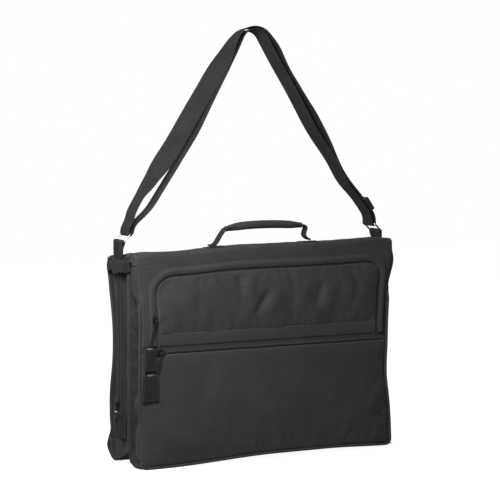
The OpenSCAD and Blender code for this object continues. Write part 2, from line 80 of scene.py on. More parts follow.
COIL_W = 2.9                            # outer face of the front coils
HEM = 8                                 # the arch's pocket panel ends this far inside its zip
TAPE_HALF = 13                          # half the width of the straight zip's tape
ZIP_GAP = 9.2                           # half the gap that the left gusset leaves for its zip
STRAP_W = 38
ARCH_L = -(B["arch_zip_coil"][0][0] + 3)
ARCH_R = B["arch_zip_coil"][1][0] - 3
ARCH_TOP = height_to_v(B["arch_zip_coil"][1][2], COIL_W) - 3
ARCH_CORNER = 46
ARCH_BASE = ARCH_TOP - ARCH_CORNER      # where the corners begin
POCKET_V = height_to_v(B["pocket_zip_coil"][1][2], COIL_W) - 3
BAND_V0 = POCKET_V + 11
BAND_V1 = POCKET_V + 35.3
TOP_SEAM = 392                          # the front panel turns into the roll here
REAR_CORNER = 30
REAR_Z = HEIGHT - 12                    # the rear roll sits lower than the front one
REAR_SAG = 18
SEAM_TOP = 404                          # upper end of the gussets and bindings
FOOT_Z, SKIN_Z = 3.2, 386               # ends of the rear gussets behind the zip
FRONT_LINING = B["front_inner_panel"][1][1]
REAR_LINING = B["rear_inner_panel"][0][1]
FRONT_SEAM = FRONT_LINING - 1.6
REAR_SEAM = REAR_LINING + 1.6


# ---------- small maths ----------
def ease(a, low, high):
    t = np.clip((np.asarray(a, float) - low) / (high - low), 0, 1)
    return t * t * (3 - 2 * t)


def bell(a, middle, reach):
    return np.exp(-(((np.asarray(a, float) - middle) / reach) ** 2))


def ripple(u, v, seed, size):
    """Smooth fixed noise between about -1 and 1 whose largest wave is size long."""
    total = 0.0
    for k in range(5):
        a = math.radians((seed * 47 + k * 137.5) % 180)
        f = 2 * math.pi * 1.62 ** k / size
        p = seed * 1.3 + k * 2.1
        along = u * math.cos(a) + v * math.sin(a)
        over = v * math.cos(a) - u * math.sin(a)
        total = total + 0.6 ** k * np.sin(along * f + p + 0.9 * np.sin(over * f * 0.6 + 2 * p))
    return total / 2.0


def folds(u, v, *lines):
    """Soft creases and ridges, each along a line from a to b that fades at both ends."""
    total = 0.0
    for a, b, reach, height in lines:
        a, b = np.array(a, float), np.array(b, float)
        d = b - a
        t = ((u - a[0]) * d[0] + (v - a[1]) * d[1]) / (d @ d)
        off = ((u - a[0]) * d[1] - (v - a[1]) * d[0]) / np.linalg.norm(d)
        ends = ease(t, -0.25, 0.3) * (1 - ease(t, 0.7, 1.25))
        total = total + height * ends * np.exp(-((off / reach) ** 2))
    return total


def pts(*parts):
    return np.stack(np.broadcast_arrays(*parts), -1)


def plane(a0, a1, na, b0, b1, nb):
    """A grid of two coordinates, the first of which varies along the columns."""
    return np.meshgrid(np.linspace(a0, a1, na), np.linspace(b0, b1, nb))


def unit(a):
    a = np.asarray(a, float)
    return a / np.maximum(np.linalg.norm(a, axis=-1, keepdims=True), 1e-9)


def tangents(path, closed=False):
    if closed:
        return unit(np.roll(path, -1, 0) - np.roll(path, 1, 0))
    return unit(np.gradient(path, axis=0))


def run_length(path):
    return np.r_[0, np.cumsum(np.linalg.norm(np.diff(path, axis=0), axis=1))]


def resample(path, step):
    """The same line with evenly spaced points."""
    path = np.asarray(path, float)
    s = run_length(path)
    at = np.linspace(0, s[-1], max(2, int(round(s[-1] / step)) + 1))
    return np.stack([np.interp(at, s, path[:, i]) for i in range(path.shape[1])], 1)


def smooth_line(points, step):
    """A rounded line through a few points (Catmull-Rom)."""
    p = np.asarray(points, float)
    p = np.vstack([2 * p[0] - p[1], p, 2 * p[-1] - p[-2]])
    out = []
    for i in range(1, len(p) - 2):
        t = np.linspace(0, 1, 12, endpoint=False)[:, None]
        out.append(0.5 * (2 * p[i] + (p[i + 1] - p[i - 1]) * t
                          + (2 * p[i - 1] - 5 * p[i] + 4 * p[i + 1] - p[i + 2]) * t ** 2
                          + (3 * p[i] - p[i - 1] - 3 * p[i + 1] + p[i + 2]) * t ** 3))
    return resample(np.vstack(out + [p[-2:-1]]), step)


# ---------- the soft shapes of the two halves ----------
def droop(x):
    """How far the top edge hangs down: in the middle, and most towards the left end."""
    x = np.asarray(x, float)
    return 9.5 * ease(-x, 40, 235) + 3.6 * (1 - ease(np.abs(x), 140, 275))


def front_floor(x, y):
    """Height of the front half's underside, which lifts to the right and to the inside."""
    return 9.5 * ease(x, -235, 20) - 4.0 * ease(x, 130, 270) + 6.0 * ease(y, -42, -19)


def rear_floor(y):
    """Height of the rear half's underside, rounded up towards the inside."""
    return 22.0 * np.clip((50 - np.asarray(y, float)) / 66, 0, 1) ** 1.6


def spine_level(x, y):
    """Height of the spine's cloth, which falls to the rear and to the left."""
    return HEIGHT - 0.1 - 12.0 * ease(y, -38, 45) - droop(x)


def face(x, v, w):
    """Points on the leaning front face."""
    x, v, w = np.broadcast_arrays(*(np.asarray(a, float) for a in (x, v, w)))
    z = CORD + v * COS + w * SIN - droop(x) * ease(v, 300, 392)
    z = z + front_floor(x, -HALF_D) * (1 - ease(v, 0, 170))
    return pts(x, CORD - HALF_D + v * SIN - w * COS, z)


def pulled(z, side):
    """How far the front's side edge is drawn in at a height."""
    v = np.asarray(z, float) / COS
    if side < 0:
        return 6 * bell(v, 290, 90)
    return 6 * (1 - ease(v, 230, 330)) + 6 * bell(v, 150, 55) - 15 * bell(v, 374, 34)


def soft_face(x, v, w):
    """The front face with its sides drawn in, which leaves the left zip line in place."""
    x, v = np.asarray(x, float), np.asarray(v, float)
    right = ease(x, 120, 278) * pulled(v * COS, 1)
    left = ease(-x, 247, 278) * pulled(v * COS, -1)
    return face(x - right + left, v, w)


def front_y(z):
    return CORD - HALF_D + (np.asarray(z, float) - CORD) * SIN / COS


def end_bulge(z):
    """How far the rounded end near the floor stands out."""
    return 7.0 * bell(z, 26, 19) * ease(z, 0, 24)


def rear_profile(step):
    """(y, z) of the rear skin from the floor's front edge, round the end and up to the top."""
    rise = HEIGHT - 4 - REAR_CORNER
    chord = math.hypot(HALF_D - REAR_TOP, rise)
    sag_r = ((chord / 2) ** 2 + REAR_SAG ** 2) / (2 * REAR_SAG)
    cy = (HALF_D + REAR_TOP) / 2 + (sag_r - REAR_SAG) * rise / chord
    cz = REAR_CORNER + rise / 2 + (sag_r - REAR_SAG) * (HALF_D - REAR_TOP) / chord
    flat = [(y, 0.6 + float(rear_floor(y)))
            for y in np.linspace(REAR_LINING + 3, HALF_D - REAR_CORNER - 4, 14)]
    turn = [(HALF_D - REAR_CORNER + REAR_CORNER * math.cos(t),
             REAR_CORNER + (REAR_CORNER - 0.5) * math.sin(t))
            for t in np.radians(np.linspace(-84, 0, 12))]
    turn = [(y + float(end_bulge(z)), z) for y, z in turn]
    back = []
    for z in np.linspace(REAR_CORNER + 6, REAR_Z - 22, 60):
        y = cy - math.sqrt(sag_r ** 2 - (z - cz) ** 2)
        y += end_bulge(z) - 5.5 * bell(z, 61, 12)
        y += 9.5 * bell(z, 132, 50) + 13.0 * bell(z, 346, 60) + 6.0 * bell(z, 372, 15)
        back.append((y, z))
    r, roll_y, roll_z = 18.0, REAR_TOP + 9, REAR_Z + 0.4
    top = [(roll_y - r + r * math.cos(t), roll_z - r + r * math.sin(t))
           for t in np.radians(np.linspace(6, 90, 10))]
    over = [(roll_y - r - d, roll_z + 0.03 * d) for d in (5, 10)]
    return resample(np.array(flat + turn + back + top + over), step)


def rear_y(z):
    """Outward place of the rear skin at a height."""
    p = rear_profile(2.0)
    p = p[(p[:, 0] > 40) & (p[:, 1] < REAR_Z - 8)]
    return np.interp(z, p[:, 1], p[:, 0])


# ---------- meshes ----------
def turn_outwards(obj, out=None, merge=0.0):
    """Joins points that coincide, then turns every face outwards, or towards out."""
    bm = bmesh.new()
    bm.from_mesh(obj.data)
    if merge:
        bmesh.ops.remove_doubles(bm, verts=bm.verts, dist=merge * MM)
    bmesh.ops.recalc_face_normals(bm, faces=bm.faces)
    if out and sum(f.normal.dot(Vector(out)) * f.calc_area() for f in bm.faces) < 0:
        bmesh.ops.reverse_faces(bm, faces=bm.faces)
    bm.to_mesh(obj.data)
    bm.free()
    obj.data.update()


def new_piece(name, verts, faces, uv, slot, material=None):
    mesh = bpy.data.meshes.new(name)
    mesh.from_pydata((np.asarray(verts, float) * MM).tolist(), [], faces)
    loops = np.zeros(len(mesh.loops), np.int32)
    mesh.loops.foreach_get("vertex_index", loops)
    layer = mesh.uv_layers.new(name="metres")
    layer.data.foreach_set("uv", (np.asarray(uv, float) * MM)[loops].astype(np.float32).ravel())
    mesh.polygons.foreach_set("use_smooth", [True] * len(mesh.polygons))
    mesh.materials.append(MATERIAL[material or slot])
    obj = bpy.data.objects.new(name, mesh)
    bpy.context.scene.collection.objects.link(obj)
    return obj


def attach(obj, body, *nodes):
    """Lets a piece ride on a body and stand in for CAD nodes; an empty one is left out."""
    if any(nodes):
        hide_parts(*nodes)
    if body:
        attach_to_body(obj, body)
    return obj


def grid_faces(rows, cols, start=0, wrap=False):
    last = cols if wrap else cols - 1
    return [(start + r * cols + c, start + r * cols + (c + 1) % cols,
             start + (r + 1) * cols + (c + 1) % cols, start + (r + 1) * cols + c)
            for r in range(rows - 1) for c in range(last)]


THICK = {}
PUFFS = []


def sheet(name, grids, out, slot, thick=1.8, material=None):
    """A sewn sheet from one or more (points, uv) grids that share edges."""
    verts, uv, faces = [], [], []
    for p, u in grids:
        faces += grid_faces(p.shape[0], p.shape[1], sum(len(a) for a in verts))
        verts.append(p.reshape(-1, 3))
        uv.append(u.reshape(-1, 2))
    obj = new_piece(name, np.vstack(verts), faces, np.vstack(uv), slot, material)
    turn_outwards(obj, out, 0.05)
    THICK[obj.name] = (thick, 1)
    return obj


def face_sheet(name, node, x, v, w, slot="cloth", thick=1.8, uv=None):
    """A sheet on the front half's face that stands in for a CAD node."""
    obj = sheet(name, [(soft_face(x, v, w), pts(x, v) if uv is None else uv)], (0, -1, 0), slot,
                thick)
    return attach(obj, "front_half", node)


def thicken():
    """Gives every sheet its thickness and rounds it, after the cloth has settled."""
    for name, (thick, levels) in THICK.items():
        obj = bpy.data.objects[name]
        if thick:
            solid = obj.modifiers.new("thickness", "SOLIDIFY")
            solid.thickness = thick * MM
            solid.offset = -1
            solid.use_even_offset = False
        if levels:
            sub = obj.modifiers.new("rounding", "SUBSURF")
            sub.levels = sub.render_levels = levels


def puff(obj, pressure, grow, cap, free=lambda place: True):
    """Marks a sheet for the cloth simulation, held along its border and where it isn't free."""
    group = obj.vertex_groups.new(name="held")
    bm = bmesh.new()
    bm.from_mesh(obj.data)
    held = [v.index for v in bm.verts if v.is_boundary or not free(np.array(v.co) / MM)]
    bm.free()
    group.add(held, 1.0, "REPLACE")
    PUFFS.append((obj, pressure, grow, cap))


def settle(stiff=5.0, frames=20):
    """Runs all the cloth together, then keeps each sheet's shape within its cap."""
    scene = bpy.context.scene
    for obj, pressure, grow, cap in PUFFS:
        cloth = obj.modifiers.new("cloth", "CLOTH")
        s = cloth.settings
        s.quality = 6
        s.mass = 0.25
        s.tension_stiffness = s.compression_stiffness = stiff
        s.shear_stiffness = stiff * 0.6
        s.bending_stiffness = 0.35
        s.vertex_group_mass = "held"
        s.shrink_min = -grow
        s.use_pressure = True
        s.uniform_pressure_force = pressure
        s.effector_weights.gravity = 0
        s.air_damping = 2.0
        cloth.collision_settings.use_collision = False
        cloth.point_cache.frame_start, cloth.point_cache.frame_end = 1, frames
    for f in range(1, frames + 1):
        scene.frame_set(f)
    graph = bpy.context.evaluated_depsgraph_get()
    for obj, pressure, grow, cap in PUFFS:
        n = len(obj.data.vertices)
        rest, now = np.zeros(n * 3), np.zeros(n * 3)
        obj.data.vertices.foreach_get("co", rest)
        obj.evaluated_get(graph).to_mesh().vertices.foreach_get("co", now)
        obj.evaluated_get(graph).to_mesh_clear()
        move = (now - rest).reshape(-1, 3)
        size = np.linalg.norm(move, axis=1, keepdims=True)
        limit = cap * MM
        move *= limit * np.tanh(size / limit) / np.maximum(size, 1e-9)
        obj.modifiers.remove(obj.modifiers["cloth"])
        obj.data.vertices.foreach_set("co", (rest.reshape(-1, 3) + move).ravel())
        obj.data.update()
    scene.frame_set(1)


# ---------- cords, webbing, stitches and teeth ----------
def round_section(radius, count=12, tall=None):
    a = np.linspace(0, 2 * math.pi, count, endpoint=False)
    return pts(radius * np.cos(a), (tall or radius) * np.sin(a))


def flat_section(width, thick, across=6):
    """A webbing's cross-section: flat faces and rounded edges."""
    h, t = width / 2, thick / 2
    xs = np.linspace(-h + t, h - t, across)
    a = np.radians(np.linspace(90, -90, 5))[1:-1]
    right = [(h - t + t * math.cos(q), t * math.sin(q)) for q in a]
    left = [(-h + t - t * math.cos(q), -t * math.sin(q)) for q in a]
    return np.array([(x, t) for x in xs] + right + [(x, -t) for x in xs[::-1]] + left)


def tube(name, path, across, section, slot, body=None, closed=False, levels=0):
    """A cord or strap along a path; the first axis of its section lies along across."""
    path = np.asarray(path, float)
    t = tangents(path, closed)
    up = unit(np.cross(t, np.broadcast_to(np.asarray(across, float), path.shape)))
    side = np.cross(up, t)
    section = np.broadcast_to(np.asarray(section, float),
                              (len(path),) + np.asarray(section).shape[-2:])
    p = path[:, None] + side[:, None] * section[..., :1] + up[:, None] * section[..., 1:]
    rows, cols = p.shape[:2]
    uv = pts(run_length(p[0] - p[0].mean(0))[None], run_length(path)[:, None])
    faces = grid_faces(rows, cols, wrap=True)
    if closed:
        faces += [((rows - 1) * cols + c, (rows - 1) * cols + (c + 1) % cols, (c + 1) % cols, c)
                  for c in range(cols)]
    else:
        faces += [tuple(range(cols))[::-1], tuple(range((rows - 1) * cols, rows * cols))]
    obj = new_piece(name, p.reshape(-1, 3), faces, uv.reshape(-1, 2), slot)
    turn_outwards(obj)
    THICK[obj.name] = (0, levels)
    return attach(obj, body)


def beads(name, centres, along, up, shape, slot, material=None):
    """Many small closed shapes in one piece; shape is rings of (along, across, up) points."""
    rings = np.asarray(shape, float)
    count, around = rings.shape[:2]
    along, up = unit(along), unit(up)
    side = unit(np.cross(along, up))
    axes = np.stack([along, side, np.cross(side, along)], 1)
    verts = (centres[:, None] + rings.reshape(1, -1, 3) @ axes).reshape(-1, 3)
    faces = []
    for k in range(0, len(verts), count * around):
        faces += grid_faces(count, around, k, wrap=True)
        faces += [tuple(k + j for j in range(around))[::-1],
                  tuple(k + (count - 1) * around + j for j in range(around))]
    obj = new_piece(name, verts, faces, verts[:, :2], slot, material)
    turn_outwards(obj)
    return obj


HEX = np.linspace(0, 2 * math.pi, 6, endpoint=False)


def stitches(name, body, runs, pitch=3.4, lift=0.12, length=2.5, radius=0.34):
    """Stitches along several (points, outward direction) lines; each dips in at its ends."""
    shape = [[(t * length, r * radius * math.cos(q), up + r * radius * math.sin(q)) for q in HEX]
             for t, r, up in ((-0.5, 0.5, -0.35), (-0.32, 1.0, 0.06), (0, 1.05, 0.18),
                              (0.32, 1.0, 0.06), (0.5, 0.5, -0.35))]
    c, t, u = [], [], []
    for line, out in runs:
        p = resample(line, pitch)
        p = (p[1:] + p[:-1]) / 2
        if len(p) < 2:
            continue
        out = np.broadcast_to(np.asarray(out, float), p.shape)
        c.append(p + unit(out) * lift)
        t.append(tangents(p))
        u.append(out)
    return attach(beads(name, np.vstack(c), np.vstack(t), np.vstack(u), shape, "cloth", "thread"),
                  body)


def zip_coil(name, body, node, path, out, pitch=1.7, half=2.6, along=0.5, tall=0.8):
    """A zip's coil: one rounded turn after another, lying across the tape."""
    tooth = [[(along * r * math.cos(q), t * half, tall * r * math.sin(q) + 0.25 * (1 - t * t))
              for q in HEX] for t, r in ((-1, 0.55), (-0.82, 1), (0, 1.12), (0.82, 1), (1, 0.55))]
    p = resample(path, pitch)
    t = tangents(p)
    out = np.broadcast_to(np.asarray(out, float), p.shape)
    shift = np.where(np.arange(len(p)) % 2 == 0, 0.45, -0.45)[:, None]
    return attach(beads(name, p + unit(np.cross(t, out)) * shift, t, out, tooth, "zip_coil"),
                  body, node)


# ---------- materials ----------
class Graph:
    """A few shortcuts for building a node material."""

    def __init__(self, name):
        self.material = bpy.data.materials.new(name)
        self.material.use_nodes = True
        self.tree = self.material.node_tree
        self.tree.nodes.clear()
        self.out = self.tree.nodes.new("ShaderNodeOutputMaterial")
        self.shader = self.node("ShaderNodeBsdfPrincipled")
        self.tree.links.new(self.shader.outputs[0], self.out.inputs[0])
        coords = self.node("ShaderNodeTexCoord")
        self.uv, self.place = coords.outputs["UV"], coords.outputs["Object"]

    def node(self, kind, **inputs):
        made = self.tree.nodes.new(kind)
        for key, value in inputs.items():
            self.feed(made, key.replace("_", " "), value)
        return made

    def feed(self, node, key, value):
        socket = node.inputs[key]
        if isinstance(value, bpy.types.NodeSocket):
            self.tree.links.new(value, socket)
        else:
            socket.default_value = value

    def split(self):
        """The places across and along the cloth, in metres."""
        parts = self.node("ShaderNodeSeparateXYZ", Vector=self.uv)
        return parts.outputs[0], parts.outputs[1]

    def calc(self, operation, a, b=0.0):
        made = self.tree.nodes.new("ShaderNodeMath")
        made.operation = operation
        self.feed(made, 0, a)
        self.feed(made, 1, b)
        return made.outputs[0]

    def times(self, a, b):
        return self.calc("MULTIPLY", a, b)

    def mix(self, *parts):
        """The sum of (value, share) pairs."""
        total = None
        for value, share in parts:
            part = value if share is None else self.times(value, share)
            total = part if total is None else self.calc("ADD", total, part)
        return total

    def wave(self, value, pitch):
        """A sine of a length in metres, between 0 and 1."""
        turn = self.times(value, 2 * math.pi / (pitch * MM))
        return self.calc("ADD", self.times(self.calc("SINE", turn), 0.5), 0.5)

    def noise(self, vector, size, detail=3.0, stretch=(1, 1, 1)):
        mapped = self.tree.nodes.new("ShaderNodeMapping")
        self.feed(mapped, "Vector", vector)
        mapped.inputs["Scale"].default_value = stretch
        made = self.node("ShaderNodeTexNoise", Scale=1.0 / (size * MM), Detail=detail)
        self.tree.links.new(mapped.outputs[0], made.inputs["Vector"])
        return made.outputs["Fac"]

    def blend(self, amount, low, high):
        made = self.tree.nodes.new("ShaderNodeMix")
        made.data_type = "RGBA"
        self.feed(made, 0, amount)
        for key, value in ((6, low), (7, high)):
            self.feed(made, key, value + (1.0,) if isinstance(value, tuple) else value)
        return made.outputs[2]

    def span(self, value, low, high, to_low=0.0, to_high=1.0):
        made = self.node("ShaderNodeMapRange")
        for key, v in enumerate((value, low, high, to_low, to_high)):
            self.feed(made, key, v)
        return made.outputs[0]

    def bump(self, height, distance, strength=1.0, under=None):
        made = self.node("ShaderNodeBump", Height=height, Distance=distance * MM,
                         Strength=strength)
        if under is not None:
            self.feed(made, "Normal", under)
        return made.outputs[0]

    def worn(self, colour, share, light, low=0.505, high=0.56):
        """Colour that lightens where the surface bends outwards, which is where it wears."""
        sharp = self.node("ShaderNodeNewGeometry").outputs["Pointiness"]
        return self.blend(self.times(self.span(sharp, low, high), share), colour, light)

    def set(self, **inputs):
        for key, value in inputs.items():
            if isinstance(value, tuple) and len(value) == 3:
                value = value + (1.0,)
            self.feed(self.shader, key.replace("_", " "), value)
        return self.material


def woven(name, dark, light, pitch=1.3, rib=0.0, rough=0.72, wear=0.22, depth=0.2):
    """Woven cloth: yarns over and under, faint ribs, slubs, wear along the edges."""
    g = Graph(name)
    u, v = g.split()
    warp, weft = g.wave(u, pitch), g.wave(v, pitch)
    check = g.wave(g.calc("ADD", u, v), pitch * 2)
    yarn = g.mix((warp, check), (weft, g.calc("SUBTRACT", 1.0, check)))
    slub = g.noise(g.uv, 2.2, 2.0, (0.22, 1.0, 1.0))
    ribs = g.wave(g.mix((v, None), (slub, 0.0012)), 4.6)
    fine = g.noise(g.place, 7, 4.0)
    tone = g.mix((yarn, 0.30), (slub, 0.35), (g.noise(g.place, 70, 3.0), 0.45), (fine, 0.16),
                 (ribs, rib))
    colour = g.worn(g.blend(g.span(tone, 0.35, 1.0), dark, light), wear,
                    tuple(min(1.0, c * 1.9 + 0.01) for c in light))
    height = g.mix((yarn, None), (ribs, 1.6 * rib), (slub, 0.5))
    normal = g.bump(height, depth, 0.8, g.bump(g.noise(g.place, 16, 2.0), 0.5, 0.5))
    rough = g.span(fine, 0.2, 0.8, rough - 0.08, rough + 0.1)
    return g.set(Base_Color=colour, Roughness=rough,
                 Sheen_Weight=0.07, Sheen_Roughness=0.42, Sheen_Tint=(0.82, 0.82, 0.88),
                 Specular_IOR_Level=0.22, Normal=normal)


def webbing(name, dark, light, across=2.6, along=1.5):
    """Strap webbing: long ribs with a chevron of picks across them."""
    g = Graph(name)
    u, v = g.split()
    ribs = g.wave(u, across)
    pick = g.wave(g.mix((v, None), (ribs, along * 0.5 * MM)), along)
    body = g.times(g.calc("ADD", g.times(ribs, 0.7), 0.3), pick)
    tone = g.mix((body, 0.55), (g.noise(g.place, 34, 3.0), 0.55))
    colour = g.worn(g.blend(g.span(tone, 0.2, 0.95), dark, light), 0.4,
                    tuple(c * 1.9 for c in light))
    normal = g.bump(g.mix((ribs, 0.9), (pick, 0.5)), 0.35, 0.9)
    return g.set(Base_Color=colour, Roughness=0.62, Sheen_Weight=0.02, Sheen_Roughness=0.4,
                 Specular_IOR_Level=0.12, Normal=normal)


def tape_cloth(name, dark, light):
    """Zip tape: a fine herringbone."""
    g = Graph(name)
    u, v = g.split()
    twill = g.wave(g.mix((v, None), (g.wave(u, 3.2), 1.6 * MM)), 0.9)
    tone = g.mix((twill, 0.5), (g.noise(g.place, 25, 3.0), 0.5))
    return g.set(Base_Color=g.blend(tone, dark, light), Roughness=0.75, Sheen_Weight=0.03,
                 Normal=g.bump(twill, 0.12, 0.8))


def metal(name, colour, dark, rough=0.24, rubbed=(0.93, 0.92, 0.9), share=0.6):
    """Plated metal: drawn scratches, dull patches and bright rubbed edges."""
    g = Graph(name)
    drawn = g.noise(g.place, 1.2, 3.0, (0.06, 1.0, 1.0))
    patch = g.noise(g.place, 6, 4.0)
    tint = g.worn(g.blend(g.span(patch, 0.35, 0.75), colour, dark), share, rubbed, 0.51, 0.6)
    rough = g.mix((g.span(patch, 0.3, 0.7, rough - 0.07, rough + 0.14), None), (drawn, 0.10))
    return g.set(Base_Color=tint, Metallic=1.0, Roughness=rough, Normal=g.bump(drawn, 0.03, 0.5))


def moulded(name, dark, light, rough=0.42):
    """Moulded plastic with a fine spark-eroded grain."""
    g = Graph(name)
    speck = g.noise(g.place, 0.6, 2.0)
    colour = g.worn(g.blend(g.span(g.noise(g.place, 12, 3.0), 0.3, 0.7), dark, light), 0.3,
                    tuple(c * 2.2 for c in light))
    return g.set(Base_Color=colour, Roughness=g.span(speck, 0.3, 0.7, rough - 0.06, rough + 0.1),
                 Normal=g.bump(speck, 0.05, 0.6))


def lining_cloth(name, dark, light):
    """Thin lining with a ripstop grid of thicker yarns."""
    g = Graph(name)
    u, v = g.split()
    grid = g.calc("MAXIMUM", *(g.calc("POWER", g.wave(a, 6.0), 9.0) for a in (u, v)))
    weave = g.times(g.wave(u, 0.8), g.wave(v, 0.8))
    tone = g.mix((grid, 0.3), (g.noise(g.place, 60, 4.0), 0.6), (weave, 0.2))
    return g.set(Base_Color=g.blend(tone, dark, light), Roughness=0.5, Sheen_Weight=0.15,
                 Normal=g.bump(g.mix((grid, 1.5), (weave, None)), 0.1, 0.8))


MATERIAL = {
    "cloth": woven("bag_cloth", (0.020, 0.0193, 0.0205), (0.043, 0.0415, 0.0437), rib=0.22),
    # the bag's own cloth made darker: painted shade for the gussets and the undersides
    "cloth_painted_shade": woven("bag_cloth_painted_shade", (0.0115, 0.0115, 0.0122), (0.027, 0.0265, 0.028),
                        rib=0.12, wear=0.3),
    # the bag's own cloth made much darker: painted shade under the spine's folded-over ends
    "hood": woven("bag_hood_cloth_painted_shade", (0.0065, 0.0065, 0.0069), (0.0175, 0.0172, 0.0182), rib=0.1,
                  wear=0.35),
    "piping": woven("bag_piping", (0.015, 0.0148, 0.0153), (0.034, 0.033, 0.034), pitch=1.0,
                    wear=0.35, rough=0.66),
    "handle_wrap": woven("bag_handle_wrap", (0.019, 0.0175, 0.0178), (0.042, 0.039, 0.039),
                         pitch=1.1, rib=0.1, wear=0.3),
    "lining": lining_cloth("bag_lining", (0.022, 0.022, 0.024), (0.048, 0.048, 0.053)),
    "webbing": webbing("bag_webbing", (0.0100, 0.0098, 0.0094), (0.030, 0.0290, 0.0275)),
    "zip_tape": tape_cloth("bag_zip_tape", (0.011, 0.011, 0.0115), (0.028, 0.0275, 0.028)),
    "zip_coil": moulded("bag_zip_coil", (0.007, 0.007, 0.0075), (0.018, 0.018, 0.019)),
    "plastic": moulded("bag_plastic", (0.012, 0.012, 0.013), (0.024, 0.024, 0.026)),
    "nickel": metal("bag_nickel", (0.62, 0.61, 0.59), (0.38, 0.375, 0.365)),
    "gunmetal": metal("bag_gunmetal", (0.060, 0.060, 0.063), (0.028, 0.028, 0.030), 0.3,
                      (0.30, 0.30, 0.30), 0.25),
    "thread": woven("bag_thread", (0.024, 0.023, 0.024), (0.055, 0.053, 0.055), pitch=0.5,
                    wear=0.1, depth=0.05),
}

# ---------- front half: the arch's lines ----------
ARC_L, ARC_R = ARCH_CORNER - ARCH_L, ARCH_R - ARCH_CORNER      # centres of the corners


def arch_line(offset, v0, step=7.0):
    """(x, v) up the left leg, over the top and down the right leg, offset outwards."""
    r = ARCH_CORNER + offset
    rise = TOP_SEAM - ARCH_BASE
    split = math.degrees(math.atan2(rise, EDGE + ARC_L))
    split_r = math.degrees(math.atan2(rise, EDGE - ARC_R))
    n = max(2, int(round((ARCH_BASE - v0) / step)))
    leg = np.linspace(v0, ARCH_BASE, n, endpoint=False)
    there = np.radians(np.r_[np.linspace(180, 180 - split, 6, endpoint=False),
                             np.linspace(180 - split, 90, 8)])
    back = np.radians(np.r_[np.linspace(90, split_r, 8), np.linspace(split_r, 0, 7)[1:]])
    xs = np.linspace(ARC_L, ARC_R, int((ARC_R - ARC_L) / step) + 2)[1:-1]
    return np.vstack([np.c_[np.full(n, ARC_L - r), leg],
                      np.c_[ARC_L + r * np.cos(there), ARCH_BASE + r * np.sin(there)],
                      np.c_[xs, np.full(len(xs), ARCH_BASE + r)],
                      np.c_[ARC_R + r * np.cos(back), ARCH_BASE + r * np.sin(back)],
                      np.c_[np.full(n, ARC_R + r), leg[::-1]]])


def frame_outline(v0):
    """The outline of the upper panel, matched point for point with arch_line."""
    out = []
    for x, v in arch_line(0, v0):
        if v < ARCH_BASE:
            out.append((math.copysign(EDGE, x), v))
            continue
        c = np.array([np.clip(x, ARC_L, ARC_R), ARCH_BASE])
        d = unit(np.array([x, v]) - c)
        reach = (TOP_SEAM - ARCH_BASE) / max(d[1], 1e-9)
        if abs(d[0]) > 1e-9:
            reach = min(reach, (math.copysign(EDGE, d[0]) - c[0]) / d[0])
        out.append(tuple(c + d * reach))
    return np.array(out)


def front_roll():
    """(y, z) points from the top seam of the front face over the edge and onto the top."""
    r = 9.2
    cy, cz = FRONT_TOP + r - 0.8, HEIGHT + 0.4 - r
    start = face(0, TOP_SEAM, 1.3)[1:]
    line = [start, (start + (cy - r, cz)) / 2]
    line += [(cy - r * math.cos(t), cz + r * math.sin(t))
             for t in np.radians(np.linspace(0, 90, 8))]
    line += [(cy + d, cz + r - 0.02 * d) for d in (4.5, 9, 13)]
    return np.array(line)


FLAP = ((0.8, 3.0), (3.4, 5.2), (8.0, 6.3), (13.5, 6.4), (18.0, 5.9))    # (drop, reach)


def end_flap(edge, up, side, out, amount=1.0):
    """A grid that turns an edge down the bag's side; up is the cloth's length at its points."""
    amount = np.broadcast_to(np.asarray(amount, float), len(edge))
    out = np.broadcast_to(np.asarray(out, float), edge.shape)
    cols = [edge]
    for k, (drop, reach) in enumerate(FLAP):
        wave = 0.9 * np.sin(np.arange(len(edge)) * 0.9 + k) * (k > 2)
        cols.append(edge + np.array([side * 1.0, 0, 0]) * (reach * amount)[:, None]
                    - out * ((drop + wave) * amount)[:, None])
    p = np.stack(cols, 1)
    return p, pts(p[..., 0], up[:, None])


def between(a, b, steps):
    """Coordinates and the share of the way on a grid from one (x, v) line to another."""
    t = np.linspace(0, 1, steps)[None, :]
    return a[:, :1] + (b[:, :1] - a[:, :1]) * t, a[:, 1:] + (b[:, 1:] - a[:, 1:]) * t, t


# upper panel: a frame round the arch that rolls over the top
inner, outer = arch_line(-3.6, BAND_V0), frame_outline(BAND_V0)
x, v, t = between(inner, outer, 16)
at_side = ease(np.abs(x), EDGE - 5, EDGE) * (1 - ease(v, 372, TOP_SEAM))
w = 1.5 + 1.1 * np.sin(np.pi * t) * (1 - at_side) - 1.6 * at_side
from_zip = np.hypot(x - inner[:, :1], v - inner[:, 1:])
w = w + 0.5 * ripple(x, v, 3, 55) * np.sin(np.pi * t)
w = w + 1.9 * (1 - ease(from_zip, 9, 16)) + 1.1 * bell(from_zip, 7, 5)      # the welt
w = w - 1.1 * bell(from_zip, 16.8, 2.2) - 1.0 * bell(from_zip, 24.8, 2.2)   # its two seams
w = w + folds(x, v, ((-278, 322), (-250, 302), 5, 2.6), ((-262, 372), (-272, 330), 8, -2.2))
w = np.where(v > TOP_SEAM - 0.01, 1.3, w)
panel = soft_face(x, v, w)
grids = [(panel, pts(x, v))]
top_edge = np.where(outer[:, 1] > TOP_SEAM - 0.01)[0]
seam_points = panel[top_edge, -1]

